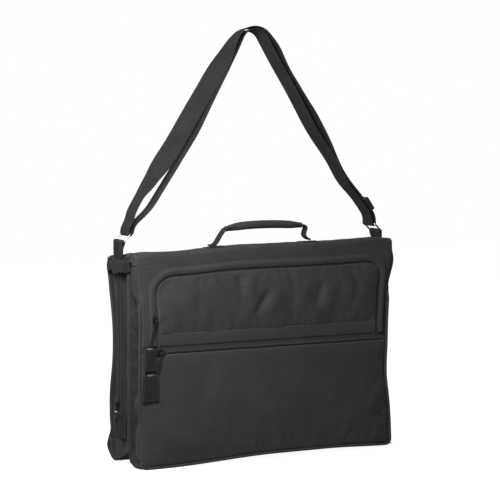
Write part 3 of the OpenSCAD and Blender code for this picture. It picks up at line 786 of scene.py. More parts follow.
roll = front_roll()
roll_s = run_length(roll)
tan = tangents(roll)
roll_out = pts(0.0, -tan[:, 1], tan[:, 0])
x, s = np.broadcast_arrays(seam_points[None, :, 0], roll_s[:, None])
grow = ease(s, 2, 20)
tuck = np.where(x > 0, 3.0 * ease(x, 246, 284) ** 1.3, 5.0 * ease(-x, 258, 284)) * grow
bumps = (0.8 * ripple(x, s, 5, 60) + 0.5 * np.sin(x * 0.31) * bell(s, 22, 9)) * grow
over = pts(x, roll[:, None, 0], roll[:, None, 1])
over = over + roll_out[:, None] * (bumps - 0.25 * tuck)[..., None]
over[..., 2] -= tuck * ease(s, 4, 26) + droop(x)
over[0] = seam_points
grids.append((over, pts(x, TOP_SEAM + s)))
for side, column in ((-1, 0), (1, -1)):
    grids.append(end_flap(over[:, column], TOP_SEAM + roll_s, side, roll_out))
    rows = np.where((outer[:, 1] > 290) & (np.sign(outer[:, 0]) == side)
                    & (np.abs(outer[:, 0]) > EDGE - 0.01))[0][::-side]
    up = outer[rows, 1]
    grids.append(end_flap(panel[rows, -1], up, side, FACE_OUT, 0.12 + 0.88 * ease(up, 290, 345)))
upper = attach(sheet("front_upper_panel_cloth", grids, (0, -1, 0.2), "cloth"), None,
               "front_upper_panel")


def rounded_top(x0, x1, v0, v1, r, nx, nv):
    """A grid whose two upper corners are rounded."""
    x, v = plane(x0, x1, nx, v0, v1, nv)
    for side, c in ((-1, x0 + r), (1, x1 - r)):
        a, b = side * (x - c) / r, (v - (v1 - r)) / r
        m = (a > 0) & (b > 0)
        x = np.where(m, c + side * r * a * np.sqrt(np.maximum(1 - b * b / 2, 0)), x)
        v = np.where(m, v1 - r + r * b * np.sqrt(np.maximum(1 - a * a / 2, 0)), v)
    return x, v


# pocket panel under the arch, with its soft folds
x, v = rounded_top(HEM - ARCH_L, ARCH_R - HEM, BAND_V1 - 1.5, ARCH_TOP - HEM, ARCH_CORNER - HEM,
                   104, 26)
lip = np.minimum(np.minimum(x + ARCH_L - HEM, ARCH_R - HEM - x), ARCH_TOP - HEM - v)
w = 2.0 + 0.4 * bell(lip, 3.0, 3.5) + folds(
    x, v, ((-62, 354), (-51, 322), 7, -3.6), ((-40, 352), (-34, 312), 15, 2.8),
    ((3, 318), (-25, 284), 7, -4.2), ((27, 330), (2, 282), 15, 3.6),
    ((-22, 312), (-50, 280), 13, 2.0), ((92, 340), (72, 284), 16, 3.2),
    ((124, 334), (110, 290), 8, -3.0), ((140, 332), (132, 284), 14, 2.4),
    ((165, 350), (205, 300), 14, 3.2), ((206, 340), (190, 280), 9, -2.4),
    ((-190, 330), (-120, 268), 18, 3.2))
w = w + 1.3 * ripple(x, v, 8, 120)
w = np.where(lip < 2.5, np.minimum(w, 2.6), w)
puff(face_sheet("arch_pocket_cloth", "arch_pocket_panel", x, v, w), 2.2, 0.012, 5.0)

# lower pocket panel
x, v = rounded_top(-EDGE, EDGE, 3.6 - POCKET_V, -3.05, 7.2, 110, 42)
v = -v
rim = np.minimum(np.minimum(EDGE - np.abs(x), v - 3.05), 40)
w = 0.2 + 1.6 * ease(rim, 0, 9) + 1.6 * ease(rim, 6, 40) * (1 - ease(v, 110, 180))
w = w + 0.5 * bell(v, POCKET_V - 5, 2.5) + folds(
    x, v, ((-262, 78), (-130, 20), 18, 3.6), ((-210, 150), (-80, 50), 26, 3.2),
    ((-30, 150), (30, 40), 34, 3.0), ((262, 120), (150, 30), 22, 3.2),
    ((268, 150), (190, 60), 15, -2.4), ((-120, 200), (-150, 120), 20, -2.4))
w = w + 1.4 * ripple(x, v, 11, 170) * ease(rim, 2, 30) * (1 - 0.8 * ease(v, 110, 190))
rows = np.where((v[:, 0] < 110) & (x[:, 0] < -EDGE + 0.01))[0]
up = v[rows, 0]
amount = (1 - 0.9 * ease(up, 62, 108)) * (0.55 + 0.45 * ease(up, 8, 26))
panel = soft_face(x, v, w)
lower = sheet("lower_pocket_cloth", [(panel, pts(x, v)),
                                     end_flap(panel[rows, 0], up, -1, FACE_OUT, amount)],
              (0, -1, 0), "cloth")
puff(attach(lower, "front_half", "lower_pocket_panel"), 1.2, 0.004, 2.2)

# band over the straight zip, drawn into fine gathers
x, v = plane(8.5 - ARCH_L, ARCH_R - 8.5, 330, BAND_V0, BAND_V1, 8)
middle = np.sin(np.pi * (v - BAND_V0) / (BAND_V1 - BAND_V0))
w = 2.2 + 0.9 * middle + 0.16 * np.sin(x * 2 * np.pi / 5.7 + 0.8 * np.sin(x / 31)) * middle
w = w + 0.35 * ripple(x, v, 14, 90) * middle
face_sheet("pocket_band_cloth", "pocket_band", x, v, np.where(v < BAND_V0 + 1, 2.5, w), thick=1.6)

# zip tapes and coils of the front
tape_in = arch_line(-14.5, BAND_V0 - 8, 6)
x, v, t = between(tape_in, arch_line(11.0, BAND_V0 - 8, 6), 9)
face_sheet("arch_zip_tape_cloth", "arch_zip_tape", x, v, 0.5 + 0.2 * np.sin(t * 2 * np.pi),
           "zip_tape", 0.9, pts(t * 25, run_length(tape_in)[:, None]))
x, v = arch_line(0, BAND_V0 - 2, 4).T
zip_coil("arch_zip_teeth", "front_half", "arch_zip_coil", soft_face(x, v, 1.45), FACE_OUT)
x, v = plane(-EDGE, EDGE, 100, POCKET_V - TAPE_HALF, POCKET_V + TAPE_HALF, 8)
face_sheet("pocket_zip_tape_cloth", "pocket_zip_tape", x, v,
           0.45 + 0.25 * np.cos((v - POCKET_V) * 0.5), "zip_tape", 0.9, pts(v, x))
low, high = B["pocket_zip_coil"]
zip_coil("pocket_zip_teeth", "front_half", "pocket_zip_coil",
         soft_face(np.linspace(low[0], high[0], 90), POCKET_V, 1.45), FACE_OUT)


# piping round the front face
def front_edge(top):
    """(x, v) down the left side, along the bottom and up the right side."""
    x1, r = HALF_W - CORD, 10
    down = np.linspace(top, r, 50)
    a = np.radians(np.linspace(180, 270, 9))[1:-1]
    b = np.radians(np.linspace(270, 360, 9))[1:-1]
    return np.vstack([np.c_[np.full(50, -x1), down],
                      np.c_[-x1 + r + r * np.cos(a), r + r * np.sin(a)],
                      np.c_[np.linspace(-x1 + r, x1 - r, 70), np.zeros(70)],
                      np.c_[x1 - r + r * np.cos(b), r + r * np.sin(b)],
                      np.c_[np.full(50, x1), down[::-1]]])


x, v = front_edge(399).T
hidden = ease(v, 296, 330)              # the cloth turns over the cord up here
hidden = hidden + (1 - ease(v, 74, 104)) * ease(v, 9, 20) * (x < 0)
path = soft_face(x - np.sign(x) * 6 * hidden, v, 0.25 * ripple(x, v, 4, 70) - 4.5 * hidden)
attach(tube("front_piping_cord", resample(path, 5), FACE_OUT, round_section(CORD), "piping"),
       "front_half", "front_piping")

# stitches of the front half
far = arch_line(21.2, BAND_V0 + 2, 4)
far = far[(far[:, 1] < ARCH_TOP + 13.5) & (far[:, 0] < -190)]
runs = [(soft_face(*line.T, w), FACE_OUT) for line, w in (
    (arch_line(13.2, BAND_V0 + 2, 4), 1.7), (far, 1.7), (arch_line(-11.4, BAND_V1 + 2, 4), 3.1))]
for x0, x1, v, w in ((14 - ARCH_L, ARCH_R - 14, BAND_V1 - 3.4, 2.5),
                     (14 - ARCH_L, ARCH_R - 14, BAND_V0 + 2.6, 2.75),
                     (3 - EDGE, EDGE - 3, POCKET_V - 8.5, 2.15)):
    runs.append((soft_face(np.linspace(x0, x1, 120), v, w), FACE_OUT))
stitches("front_stitches", "front_half", runs)

# front gussets
for side, word in SIDES:
    t, z = plane(0, 1, 18, 2.2, SEAM_TOP, 80)
    edge = front_y(z) + 1.9
    y = edge + (FRONT_SEAM - edge) * t
    sink = (3.5 + 8.5 * bell(z, 250, 150)) * np.sin(np.pi * t) ** 0.8 * ease(z, 0, 26)
    sink = sink + pulled(z, side) * (1 - t) ** 1.3
    sink = sink + (1.9 * ripple(y * 1.4, z, 21 + side, 85)
                   + 0.8 * ripple(y, z, 5, 30)) * np.sin(np.pi * t)
    sink = sink - folds(y, z, ((-52, 330), (-30, 250), 7, 3.0), ((-62, 150), (-34, 90), 9, 3.2),
                        ((-48, 372), (-40, 300), 5, 2.6), ((-60, 60), (-30, 30), 8, -3.0))
    z = z + front_floor(side * SIDE, y) * (1 - ease(z, 0, 170))
    # the gusset gets the darker copy of the cloth, which is painted shade
    gusset = sheet(f"front_gusset_{word}_cloth",
                   [(pts(side * (SIDE - 0.4 - np.maximum(sink, -1.0)), y, z), pts(y, z))],
                   (side, 0, 0), "cloth", 1.6, "cloth_painted_shade")
    puff(attach(gusset, "front_half", f"front_gusset_{word}"), -0.8, 0.02, 3.0)

# bottom, linings and bindings
x, y = plane(1 - SIDE, SIDE - 1, 90, 4.5 - HALF_D, FRONT_SEAM, 10)
z = 1.6 - 1.1 * np.sin(np.pi * (y + HALF_D - 4.5) / (FRONT_SEAM + HALF_D - 4.5))
z = np.maximum(z + 0.4 * ripple(x, y, 9, 80), 0.1) + front_floor(x, y)
# the underside gets the darker copy of the cloth, which is painted shade
attach(sheet("front_end_cloth", [(pts(x, y, z), pts(x, y))], (0, 0, -1), "cloth",
             material="cloth_painted_shade"), "front_half", "front_end_panel")


def lining(name, body, nodes, y_at, facing, seed, under):
    """A half's inner wall: lining with a sewn-in pocket's fullness."""
    x, z = plane(2 - SIDE, SIDE - 2, 96, 2.2, HEIGHT - 12, 70)
    rim = np.minimum(SIDE - 2 - np.abs(x), np.minimum(z - 2, HEIGHT - 12 - z))
    y = y_at - facing * (0.3 + (1.5 + 1.2 * ripple(x, z, seed, 140)) * ease(rim, 2, 50))
    z = z + under(x, y_at) * (1 - ease(z, 0, 120))
    attach(sheet(name, [(pts(x, y, z), pts(x, z))], (0, facing, 0), "lining", 1.0), body, *nodes)


def binding(name, body, y_at, under):
    """Bound edge round a half's open side."""
    x1 = SIDE - 1.2
    quarter = np.radians(np.linspace(15, 75, 5))
    line = [(-x1, y_at, z) for z in np.linspace(SEAM_TOP, 9, 60)]
    line += [(8 - x1 - 8 * math.cos(a), y_at, 9.6 - 8 * math.sin(a)) for a in quarter]
    line += [(x, y_at, 1.7) for x in np.linspace(9 - x1, x1 - 9, 70)]
    line += [(x1 - 8 + 8 * math.sin(a), y_at, 9.6 - 8 * math.cos(a)) for a in quarter]
    line += [(x1, y_at, z) for z in np.linspace(9, SEAM_TOP, 60)]
    line = resample(line, 5)
    line[:, 2] += under(line[:, 0], y_at) * (1 - ease(line[:, 2], 0, 120))
    tube(name, line, (0, 1, 0), round_section(1.55, 10, 1.7), "piping", body)


HALVES = (("front", FRONT_LINING, 1, 31, front_floor,
           ("front_inner_panel", "front_board", "pocket_back_panel")),
          ("rear", REAR_LINING, -1, 33, lambda x, y: rear_floor(y), ("rear_inner_panel",)))
for word, y_at, facing, seed, under, nodes in HALVES:
    lining(f"{word}_lining_cloth", f"{word}_half", nodes, y_at, facing, seed, under)
for word, y_at, facing, seed, under, nodes in HALVES:
    binding(f"{word}_binding", f"{word}_half", y_at - facing * 1.4, under)

# ---------- rear half ----------
profile = rear_profile(5.0)
profile_s = run_length(profile)
tan = tangents(profile)
rear_out = pts(0.0, tan[:, 1], -tan[:, 0])
seam_at = int(np.argmin(np.abs(profile[:, 1] - 44) + 1000 * (profile[:, 0] < 60)))


def rear_grid(first, last, seed, swell):
    p = profile[first:last, None]
    x, s = np.broadcast_arrays(np.linspace(-EDGE, EDGE, 92)[None], profile_s[first:last, None])
    rim = EDGE - np.abs(x)
    bulge = swell * ease(rim, 0, 60) + 1.1 * ripple(x, s, seed, 150) * ease(rim, 0, 25)
    bulge = bulge - 1.6 * (1 - ease(rim, 0, 7))
    q = pts(x, p[..., 0], p[..., 1]) + rear_out[first:last, None] * bulge[..., None]
    q[..., 2] = np.maximum(q[..., 2], 0.1)
    return q, x, s


q, x, s = rear_grid(seam_at, len(profile), 41, 1.2)
out, level = rear_out[seam_at:], profile[seam_at:, 1]
at_top = ease(level[:, None], REAR_Z - 30, REAR_Z - 6)
tuck = 5.0 * ease(np.abs(q[..., 0]), 244, 280) ** 1.4 * at_top
q = q + out[:, None] * (0.7 * ripple(q[..., 0], s, 43, 60) * at_top - 0.25 * tuck)[..., None]
q[..., 2] -= (tuck + droop(q[..., 0])) * ease(level[:, None], REAR_Z - 40, REAR_Z)
rows = np.where(level > REAR_Z - 34)[0]
grids = [(q, pts(x, s))] + [end_flap(q[rows, column], s[rows, 0], side, out[rows])
                            for side, column in ((-1, 0), (1, -1))]
back = attach(sheet("rear_back_cloth", grids, (0, 1, 0.1), "cloth"), None, "rear_back_panel",
              "rear_back_board")
puff(back, 0.8, 0.004, 4.0, free=lambda c: c[2] < REAR_Z - 44)

q, x, s = rear_grid(0, seam_at + 1, 45, 0.8)
# the rounded end gets the darker copy of the cloth, which is painted shade
rear_end = sheet("rear_end_cloth", [(q, pts(x, s))], (0, 0.3, -1), "cloth", material="cloth_painted_shade")
attach(rear_end, "rear_half", "rear_end_panel")
low, high = B["hook_slot_trim"]
middle, half = (low + high) / 2, (high - low) / 2 - 1.2
bm = bmesh.new()
bm.from_mesh(rear_end.data)
for axis in (0, 1):                     # cut along the hook slot's four sides, then open it
    for sign in (-1, 1):
        at, normal = [0, 0, 0], [0, 0, 0]
        at[axis] = (middle[axis] + sign * half[axis]) * MM
        normal[axis] = 1
        bmesh.ops.bisect_plane(bm, geom=bm.verts[:] + bm.edges[:] + bm.faces[:], plane_co=at,
                               plane_no=normal)
inside = [f for f in bm.faces
          if all(abs(f.calc_center_median()[a] / MM - middle[a]) < half[a] for a in (0, 1))]
bmesh.ops.delete(bm, geom=inside, context="FACES")
bm.to_mesh(rear_end.data)
bm.free()


def rear_side(side, y0, y1, z0, z1, depth, seed, lines=(), cols=12, rows=84):
    """Part of a rear gusset between two lines (y at a height), sunk by up to depth."""
    t, z = plane(0, 1, cols, z0, z1, rows)
    y = y0(z) + (y1(z) - y0(z)) * t
    sink = depth(z) * np.sin(np.pi * t) ** 0.8
    sink = sink + (1.3 * ripple(y * 1.5, z, seed, 80)
                   + 0.6 * ripple(y, z, seed + 1, 30)) * np.sin(np.pi * t)
    sink = sink - folds(y, z, *lines)
    z = z + rear_floor(y) * (1 - ease(z, 3, 70))
    return pts(side * (SIDE - 0.5 - np.maximum(sink, -1.6)), y, z), pts(y, z)


def low_rear(z):
    """Rear edge of the gusset, which follows the rounded end near the floor."""
    r = REAR_CORNER - 3.0
    dz = np.clip(REAR_CORNER - z, 0, r)
    corner = HALF_D - REAR_CORNER + np.sqrt(r * r - dz * dz) + end_bulge(z)
    return np.where(z < REAR_CORNER, corner, rear_y(np.maximum(z, REAR_CORNER)) - 3.0)


def level_at(value):
    """An upright line at one depth."""
    return lambda z: np.full_like(np.asarray(z, float), value)


def hollow(base, more, z_mid, reach):
    """How deep a gusset sinks, most around z_mid."""
    return lambda z: (base + more * bell(z, z_mid, reach)) * ease(z, 0, 30)


# rear gusset parts get the darker copy of the cloth, which is painted shade
def side_cloth(name, grid, side, *nodes):
    return attach(sheet(name, [grid], (side, 0, 0), "cloth", 1.6, "cloth_painted_shade"), "rear_half",
                  *nodes)


low, high = B["main_zip_tape"]
zip_z0, zip_z1 = low[2], high[2]
zip_mid = (low[1] + high[1]) / 2
seam_line = level_at(REAR_SEAM)
zip_front, zip_rear = level_at(zip_mid - ZIP_GAP), level_at(zip_mid + ZIP_GAP)
puff(side_cloth("rear_gusset_right_cloth", rear_side(
    1, seam_line, low_rear, FOOT_Z, SKIN_Z, hollow(3, 8, 250, 160), 51,
    (((10, 392), (4, 240), 4, 3), ((-4, 388), (-6, 250), 4, 3),
     ((30, 300), (52, 120), 9, -3)), 22), 1, "rear_gusset_right"), -0.8, 0.015, 3.0)

# the left gusset is in four parts round its zip
for word, part in (
        ("front", (seam_line, zip_front, FOOT_Z, SEAM_TOP, hollow(1.5, 6, 260, 150), 53,
                   (((9, 396), (8, 232), 2.6, 3.6), ((-3, 394), (-4, 236), 2.6, 3.6),
                    ((3, 396), (2, 240), 2.4, -2.6), ((-8, 200), (8, 150), 6, 2.6),
                    ((8, 190), (-10, 120), 6, -2.4)))),
        ("rear", (zip_rear, low_rear, FOOT_Z, SKIN_Z, hollow(1.5, 5, 240, 150), 55,
                  (((44, 380), (42, 250), 5, 2.6), ((50, 120), (44, 60), 6, 2.6)))),
        ("below", (zip_front, zip_rear, FOOT_Z, zip_z0 + 4, level_at(0), 57, (), 6, 24)),
        ("above", (zip_front, zip_rear, zip_z1 - 4, 396, level_at(0), 59, (), 6, 8))):
    p, uv = rear_side(-1, *part)
    near_zip = 1 - ease(np.abs(p[..., 1] - zip_mid), 9.3, 15)
    p[..., 0] = p[..., 0] * (1 - near_zip) + (0.1 - SIDE) * near_zip
    side_cloth(f"rear_gusset_left_{word}_cloth", (p, uv), -1,
               word == "front" and "rear_gusset_left")

y, z = plane(zip_mid - 10.5, zip_mid + 10.5, 9, zip_z0, zip_z1, 60)
x = 1.3 - SIDE - 0.15 * np.cos((y - zip_mid) * 0.6)
attach(sheet("main_zip_tape_cloth", [(pts(x, y, z), pts(y, z))], (-1, 0, 0), "zip_tape", 0.9),
       "rear_half", "main_zip_tape")
zip_coil("main_zip_teeth", "rear_half", "main_zip_coil",
         pts(0.35 - SIDE, zip_mid, np.linspace(zip_z0 + 4, zip_z1 - 4, 80)), (-1, 0, 0))

# piping round the rear face, and the seams of the rounded end
on_cord = (profile_s > 48) & (profile[:, 1] < REAR_Z - 26)
cord_out = rear_out[on_cord]


def rear_cord_line(side):
    line = np.c_[np.full(len(cord_out), side * (HALF_W - CORD)), profile[on_cord]]
    line = line - cord_out * CORD
    line[:, 2] = np.maximum(line[:, 2], CORD + 0.1)
    return line


for side, word in SIDES:
    attach(tube(f"rear_piping_{word}", resample(rear_cord_line(side), 4), (side, 0, 0),
                round_section(CORD), "piping"), "rear_half",
           side < 0 and "rear_piping")
xs = np.linspace(-EDGE, EDGE, 90)
seam_y, seam_z = profile[seam_at] + rear_out[seam_at, 1:] * 0.6
tube("rear_end_seam", pts(xs, seam_y, seam_z + 0.5 * ripple(xs, 0, 6, 90)), (0, 0, 1),
     round_section(1.5, 10), "piping", "rear_half")

runs = []
for side in (-1, 1):
    line = rear_cord_line(side) + cord_out * (CORD + 0.2)
    line[:, 0] = side * (EDGE - 5)
    runs.append((resample(line, 4), (0, 1, 0)))
for y in (zip_mid - 11.5, zip_mid + 11.5):
    runs.append((pts(-SIDE - 0.15, y, np.linspace(zip_z0 + 2, zip_z1 - 2, 70)), (-1, 0, 0)))
y, z = profile[seam_at + 1] + rear_out[seam_at + 1, 1:] * 2.4
runs.append((pts(np.linspace(4 - EDGE, EDGE - 4, 100), y, z), (0, 1, 0)))
stitches("rear_stitches", "rear_half", runs)
for side, word in SIDES:
    line = smooth_line([(seam_y - 8, seam_z - 2), (seam_y - 13, seam_z - 10), (seam_y - 16, 22),
                        (seam_y - 24, 10), (seam_y - 40, 7.0)], 2.5)
    line[:, 1] += rear_floor(line[:, 0]) * (1 - ease(line[:, 1], 3, 70)) * 0.9
    tube(f"rear_end_arc_{word}", pts(side * (SIDE + 0.3), line[:, 0], line[:, 1]), (side, 0, 0),
         round_section(1.5, 10), "piping", "rear_half")

# webbing patch over the zip's lower end
low, high = B["zip_end_tab"]
y, z = plane(low[1], high[1], 14, low[2], high[2], 16)
wavy = ease(z, high[2] - 12, high[2])
x = low[0] + 0.2 - 0.5 * np.sin((y - low[1]) / 50 * np.pi) - 0.35 * np.sin(y * 0.45) * wavy
z = z + wavy * 1.6 * np.sin(y * 0.35)
attach(sheet("zip_end_patch", [(pts(x, y, z), pts(y, z))], (-1, 0, 0), "webbing", 1.4),
       "rear_half", "zip_end_tab")
(y0, z0), (y1, z1) = low[1:] + 3, high[1:] - 3
ring = np.array([(low[0] - 0.45, y, z) for y, z in
                 ((y0, z0), (y1, z0), (y1, z1 - 2), (y0, z1 - 2), (y0, z0))])
stitches("zip_end_stitches", "rear_half", [(ring, (-1, 0, 0))])

# straps that hold the garment
mid_strap = sum(B["garment_strap"]) / 2
for side, word in SIDES:
    xs = np.linspace(side * 21, side * (SIDE - 6), 40)
    line = pts(xs, mid_strap[1] + 0.6 * np.sin(xs / 40),
               mid_strap[2] - 1.5 * np.sin(np.abs(xs) / 88))
    attach(tube(f"garment_strap_{word}", line, (0, 0, 1), flat_section(25, 1.5), "webbing"),
           "rear_half", side < 0 and "garment_strap")

# ---------- spine ----------
y0, y1 = FRONT_TOP + 19.5, REAR_TOP - 7
x, y = plane(-264, 264, 92, y0, y1, 24)
z = spine_level(x, y) - 0.8 * np.sin(np.pi * (y - y0) / (y1 - y0)) + 0.6 * ripple(x, y, 61, 90)
attach(sheet("spine_cloth", [(pts(x, y, z), pts(x, y))], (0, 0, 1), "cloth"), "spine",
       "spine_panel")


FOLD_X, BEND_Z, TAB_X = 252, 388, 289.4  # where a hood bends over, and stands off over the tab


def hood(name, side, seed):
    """The end of the spine: cloth folded down over the tops of both gussets."""
    k, y = plane(0, 1, 22, FRONT_TOP + 15, REAR_TOP + 8, 58)
    level = spine_level(side * 258.0, y) + 0.7
    hem = 369 + 6.0 * ease(y, -5, -30) + 2.2 * np.sin(y * 0.13 + seed) + 1.0 * np.sin(y * 0.41)
    reach = 283.0 + 1.0 * ease(y, 30, 66)
    turn = np.radians(90 * np.clip(k / 0.55, 0, 1))
    down = ease(k, 0.35, 1.0)
    x = FOLD_X + (reach - FOLD_X) * np.sin(turn) ** 0.8
    z = level - (level - BEND_Z) * (1 - np.cos(turn)) ** 1.1 * 0.8
    z = z * (1 - down) + (hem + (BEND_Z - hem) * (1 - k) * 2) * down
    x = x + 1.3 * ripple(y * 2.2, z, seed, 46) * ease(k, 0.4, 0.8)
    x = x + folds(y, z, ((-6, 402), (-22, 376), 3.5, -2.6), ((22, 402), (44, 380), 4.5, -2.4),
                  ((14, 396), (20, 374), 3.5, 1.8), ((-40, 398), (62, 388), 3.2, -3.6),
                  ((-34, 390), (58, 380), 4, 1.6))
    near_tab = 1 - ease(np.abs(y - MID_Y), 22, 31)
    room = near_tab * ease(z, 398, 405)     # the tab's foot is tucked in, its strap stands free
    x = x + (np.maximum(x, TAB_X) - x) * near_tab * (1 - ease(z, 392, 401)) * ease(z, 352, 366)
    x = x * (1 - room) + np.minimum(x, 277.6) * room
    y = y + 2.0 * ease(y, REAR_TOP - 6, REAR_TOP + 6) * down
    wrap_in = 6.0 * ease(y, REAR_TOP - 2, REAR_TOP + 8) ** 2
    # the hood's cloth is drawn darker than the rest: painted shade under the fold
    attach(sheet(name, [(pts(side * (x - wrap_in), y, z), pts(y, 2 * x - z))], (side, 0, 0.3),
                 "cloth", material="hood"), "spine")


hood("spine_hood_left", -1, 71)
hood("spine_hood_right", 1, 73)
x, y = plane(-258, 258, 80, FRONT_TOP + 9, REAR_TOP - 9, 16)
z = spine_level(x, y) - 4.6 - 0.8 * np.abs(ripple(x, y, 63, 100))
attach(sheet("spine_lining", [(pts(x, y, z), pts(x, y))], (0, 0, -1), "lining", 1.0), "spine",
       "spine_board")


def crossed(corners, out):
    """Stitch lines round four corners and across both diagonals."""
    c = np.array(corners)
    return [(c, out), (c[[0, 2]], out), (c[[1, 3]], out)]


# handle anchors
low, high = B["handle_anchors"]
half_x, half_y = 18, (high[1] - low[1]) / 2
anchor_x, anchor_y = high[0] - half_x, (low[1] + high[1]) / 2
runs = []
for side, word in SIDES:
    x, y = plane(-half_x, half_x, 14, -half_y, half_y, 12)
    cx = side * anchor_x
    z = spine_level(x + cx, y + anchor_y) + 1.5 + 0.3 * np.cos(x / half_x * 1.5) * np.cos(
        y / half_y * 1.5)
    attach(sheet(f"handle_anchor_{word}", [(pts(x + cx, y + anchor_y, z), pts(y, x))], (0, 0, 1),
                 "webbing", 1.6), "spine", side < 0 and "handle_anchors")
    corners = [(cx + i * (half_x - 3), anchor_y + j * (half_y - 3))
               for i, j in ((-1, -1), (1, -1), (1, 1), (-1, 1), (-1, -1))]
    runs += crossed([(a, b, float(spine_level(a, b)) + 1.85) for a, b in corners], (0, 0, 1))
xs = np.linspace(-246, 246, 120)
for y in (y0 + 3.5, y1 - 6.5):
    runs.append((pts(xs, y, spine_level(xs, y) + 0.3), (0, 0, 1)))

# patches on the spine's ends that carry the strap tabs
for side, word in SIDES:
    level = float(spine_level(side * 255.0, MID_Y))
    line = smooth_line([(side * x, MID_Y, z) for x, z in (
        (254, level + 1.6), (265, level - 0.4), (274, level - 5.0), (278.6, level - 11),
        (279.2, HEIGHT - 24))], 2.0)
    attach(tube(f"tab_patch_{word}", line, (0, 1, 0), flat_section(26, 1.4, 8), "webbing"),
           "spine", side < 0 and "tab_patches")
stitches("spine_stitches", "spine", runs)

# ---------- handle ----------
hy = anchor_y
hz = B["handle_grip"][0][2] + 7.5       # middle of the grip
FOOT_X = 112
foot = [float(spine_level(x, hy)) + 4.0 for x in (-FOOT_X, FOOT_X)]
left_leg = [(-FOOT_X, foot[0]), (-105, foot[0] + 0.4), (-98, foot[0] + 4.2), (-86, 438.5)]
grip_line = [(-74, hz - 1), (-40, hz + 2.4), (0, hz + 3.6), (44, hz + 2.6), (88, hz - 0.4)]
right_leg = [(96.5, hz - 1.6), (100.5, hz - 6.5), (98, hz - 14), (97, hz - 20), (101, hz - 26),
             (110, foot[1])]


def handle_path(points, step):
    x, z = smooth_line(points, step).T
    return pts(x, hy + 0.8 * np.sin(x / 38), z)


handle = tube("handle_strap", handle_path(left_leg + grip_line + right_leg, 2.5), (0, 1, 0),
              flat_section(19, 3.4, 8), "webbing", levels=1)
attach(handle, None, "handle_webbing")
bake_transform(handle)
path = handle_path([(-77, hz - 2.4)] + grip_line[1:-1] + [(92, hz - 1.0)], 2.2)
k = np.linspace(0, 1, len(path))[:, None]
a = np.linspace(0, 2 * np.pi, 28, endpoint=False)[None, :]
to_end = np.minimum(k, 1 - k)
girth = 0.72 + 0.28 * ease(to_end, 0.0, 0.20) + 0.05 * np.sin(np.pi * k)
girth = girth * (1 + 0.012 * np.sin(k * 150) * (np.cos(a) > -0.5)) - 0.10 * bell(
    to_end, 0.035, 0.012)
groove = 0.9 * bell(np.degrees(np.arctan2(np.sin(a), np.cos(a))), 90, 10)
wrap = pts(10.0 * girth * np.cos(a), 7.8 * girth * np.sin(a) - groove * girth)
attach(tube("handle_grip_wrap", path, (0, 1, 0), wrap, "handle_wrap", "handle", levels=1), None,
       "handle_grip")

# ---------- shoulder strap ----------
WIRE = 1.7
PLY = 4.2                               # from the wire's middle to the middle of a ply
BAR_X = WIRE - B["ring_left"][1][0]
BAR_Z = B["ring_left"][1][2] - WIRE
TOP_Z = B["strap_webbing"][1][2] - 33.2
LOW_Z = HEIGHT + 30                     # height of the bends' centres above the rings
LEFT_R, TOP_R, RIGHT_R = 40.0, 28.0, 30.0


def run_angle(r):
    """Slope of the straight run between a lower bend of radius r and the top bend."""
    way = (BAR_X - r, TOP_Z - LOW_Z)
    return math.atan2(way[1], way[0]) - math.asin((r - TOP_R) / math.hypot(*way))


def arc(x, z, r, a0, a1, n):
    a = np.linspace(a0, a1, n)
    return pts(x + r * np.cos(a), z + r * np.sin(a))


a0, a1 = math.pi / 2 + run_angle(LEFT_R), math.pi / 2 - run_angle(RIGHT_R)
mid = resample(np.vstack([
    [(-BAR_X, BAR_Z)], arc(LEFT_R - BAR_X, LOW_Z, LEFT_R, math.pi, a0, 14),
    arc(0, TOP_Z, TOP_R, a0, a1, 22), arc(BAR_X - RIGHT_R, LOW_Z, RIGHT_R, a1, 0, 14),
    [(BAR_X, BAR_Z)]]), 5.0)
total = np.sum(np.linalg.norm(np.diff(mid, axis=0), axis=1))
at = np.linspace(0, 1, len(mid)) * total
half_way = total / 2
tan = tangents(mid)
across = pts(-tan[:, 1], 0.0, tan[:, 0])


def ply(offset, turn):
    """A ply's middle line, and the direction of its width turned by some degrees."""
    a = np.radians(turn)[:, None]
    return (pts(mid[:, 0], MID_Y, mid[:, 1]) + across * offset[:, None],
            np.array([0, 1.0, 0]) * np.cos(a) - across * np.sin(a))


def bowed(base, *bows):
    """A ply's distance from the strap's middle line, with its bows."""
    return sum((height * bell(at, place, reach) for place, reach, height in bows), base)


right_turn = 9 * ease(at, half_way - 60, half_way + 10) * (1 - ease(at, total - 150, total - 60))
outer_ply, outer_w = ply(
    bowed(PLY, (24, 14, -5.5), (75, 20, 1.5), (195, 60, -2.8), (385, 60, 2.2), (438, 28, 4.5),
          (532, 38, 7.0), (625, 40, 1.0), (688, 28, 1.6), (822, 60, -12.0)),
    (-3 - 17 * ease(at, 70, 112) - 31 * ease(at, 105, 165)) * (
        1 - ease(at, half_way - 130, half_way - 20)) * ease(at, 0, 40) + right_turn)
inner_ply, inner_w = ply(
    bowed(-PLY - 20.0 * ease(at, -20, 80) * (1 - ease(at, 150, 400)), (half_way, 70, 5.4),
          (725, 75, -7.0), (845, 40, -7.0)),
    5 * ease(at, 4, 40) * (1 - ease(at, 140, 260)) - 14 * ease(at, 170, 260) * (
        1 - ease(at, half_way - 120, half_way - 20)) + right_turn)
a = np.radians(np.linspace(0, -180, 11))[1:-1]
turn_r, turn_l = (pts(x + PLY * np.cos(a), MID_Y, BAR_Z + PLY * np.sin(a))
                  for x in (BAR_X, -BAR_X))
level = np.tile((0, 1.0, 0), (len(a), 1))
attach(tube("shoulder_strap", np.vstack([outer_ply, turn_r, inner_ply[::-1], turn_l]),
            np.vstack([outer_w, level, inner_w[::-1], level]), flat_section(STRAP_W, 2.0, 10),
            "webbing", "shoulder_strap", closed=True, levels=1), None, "strap_webbing")

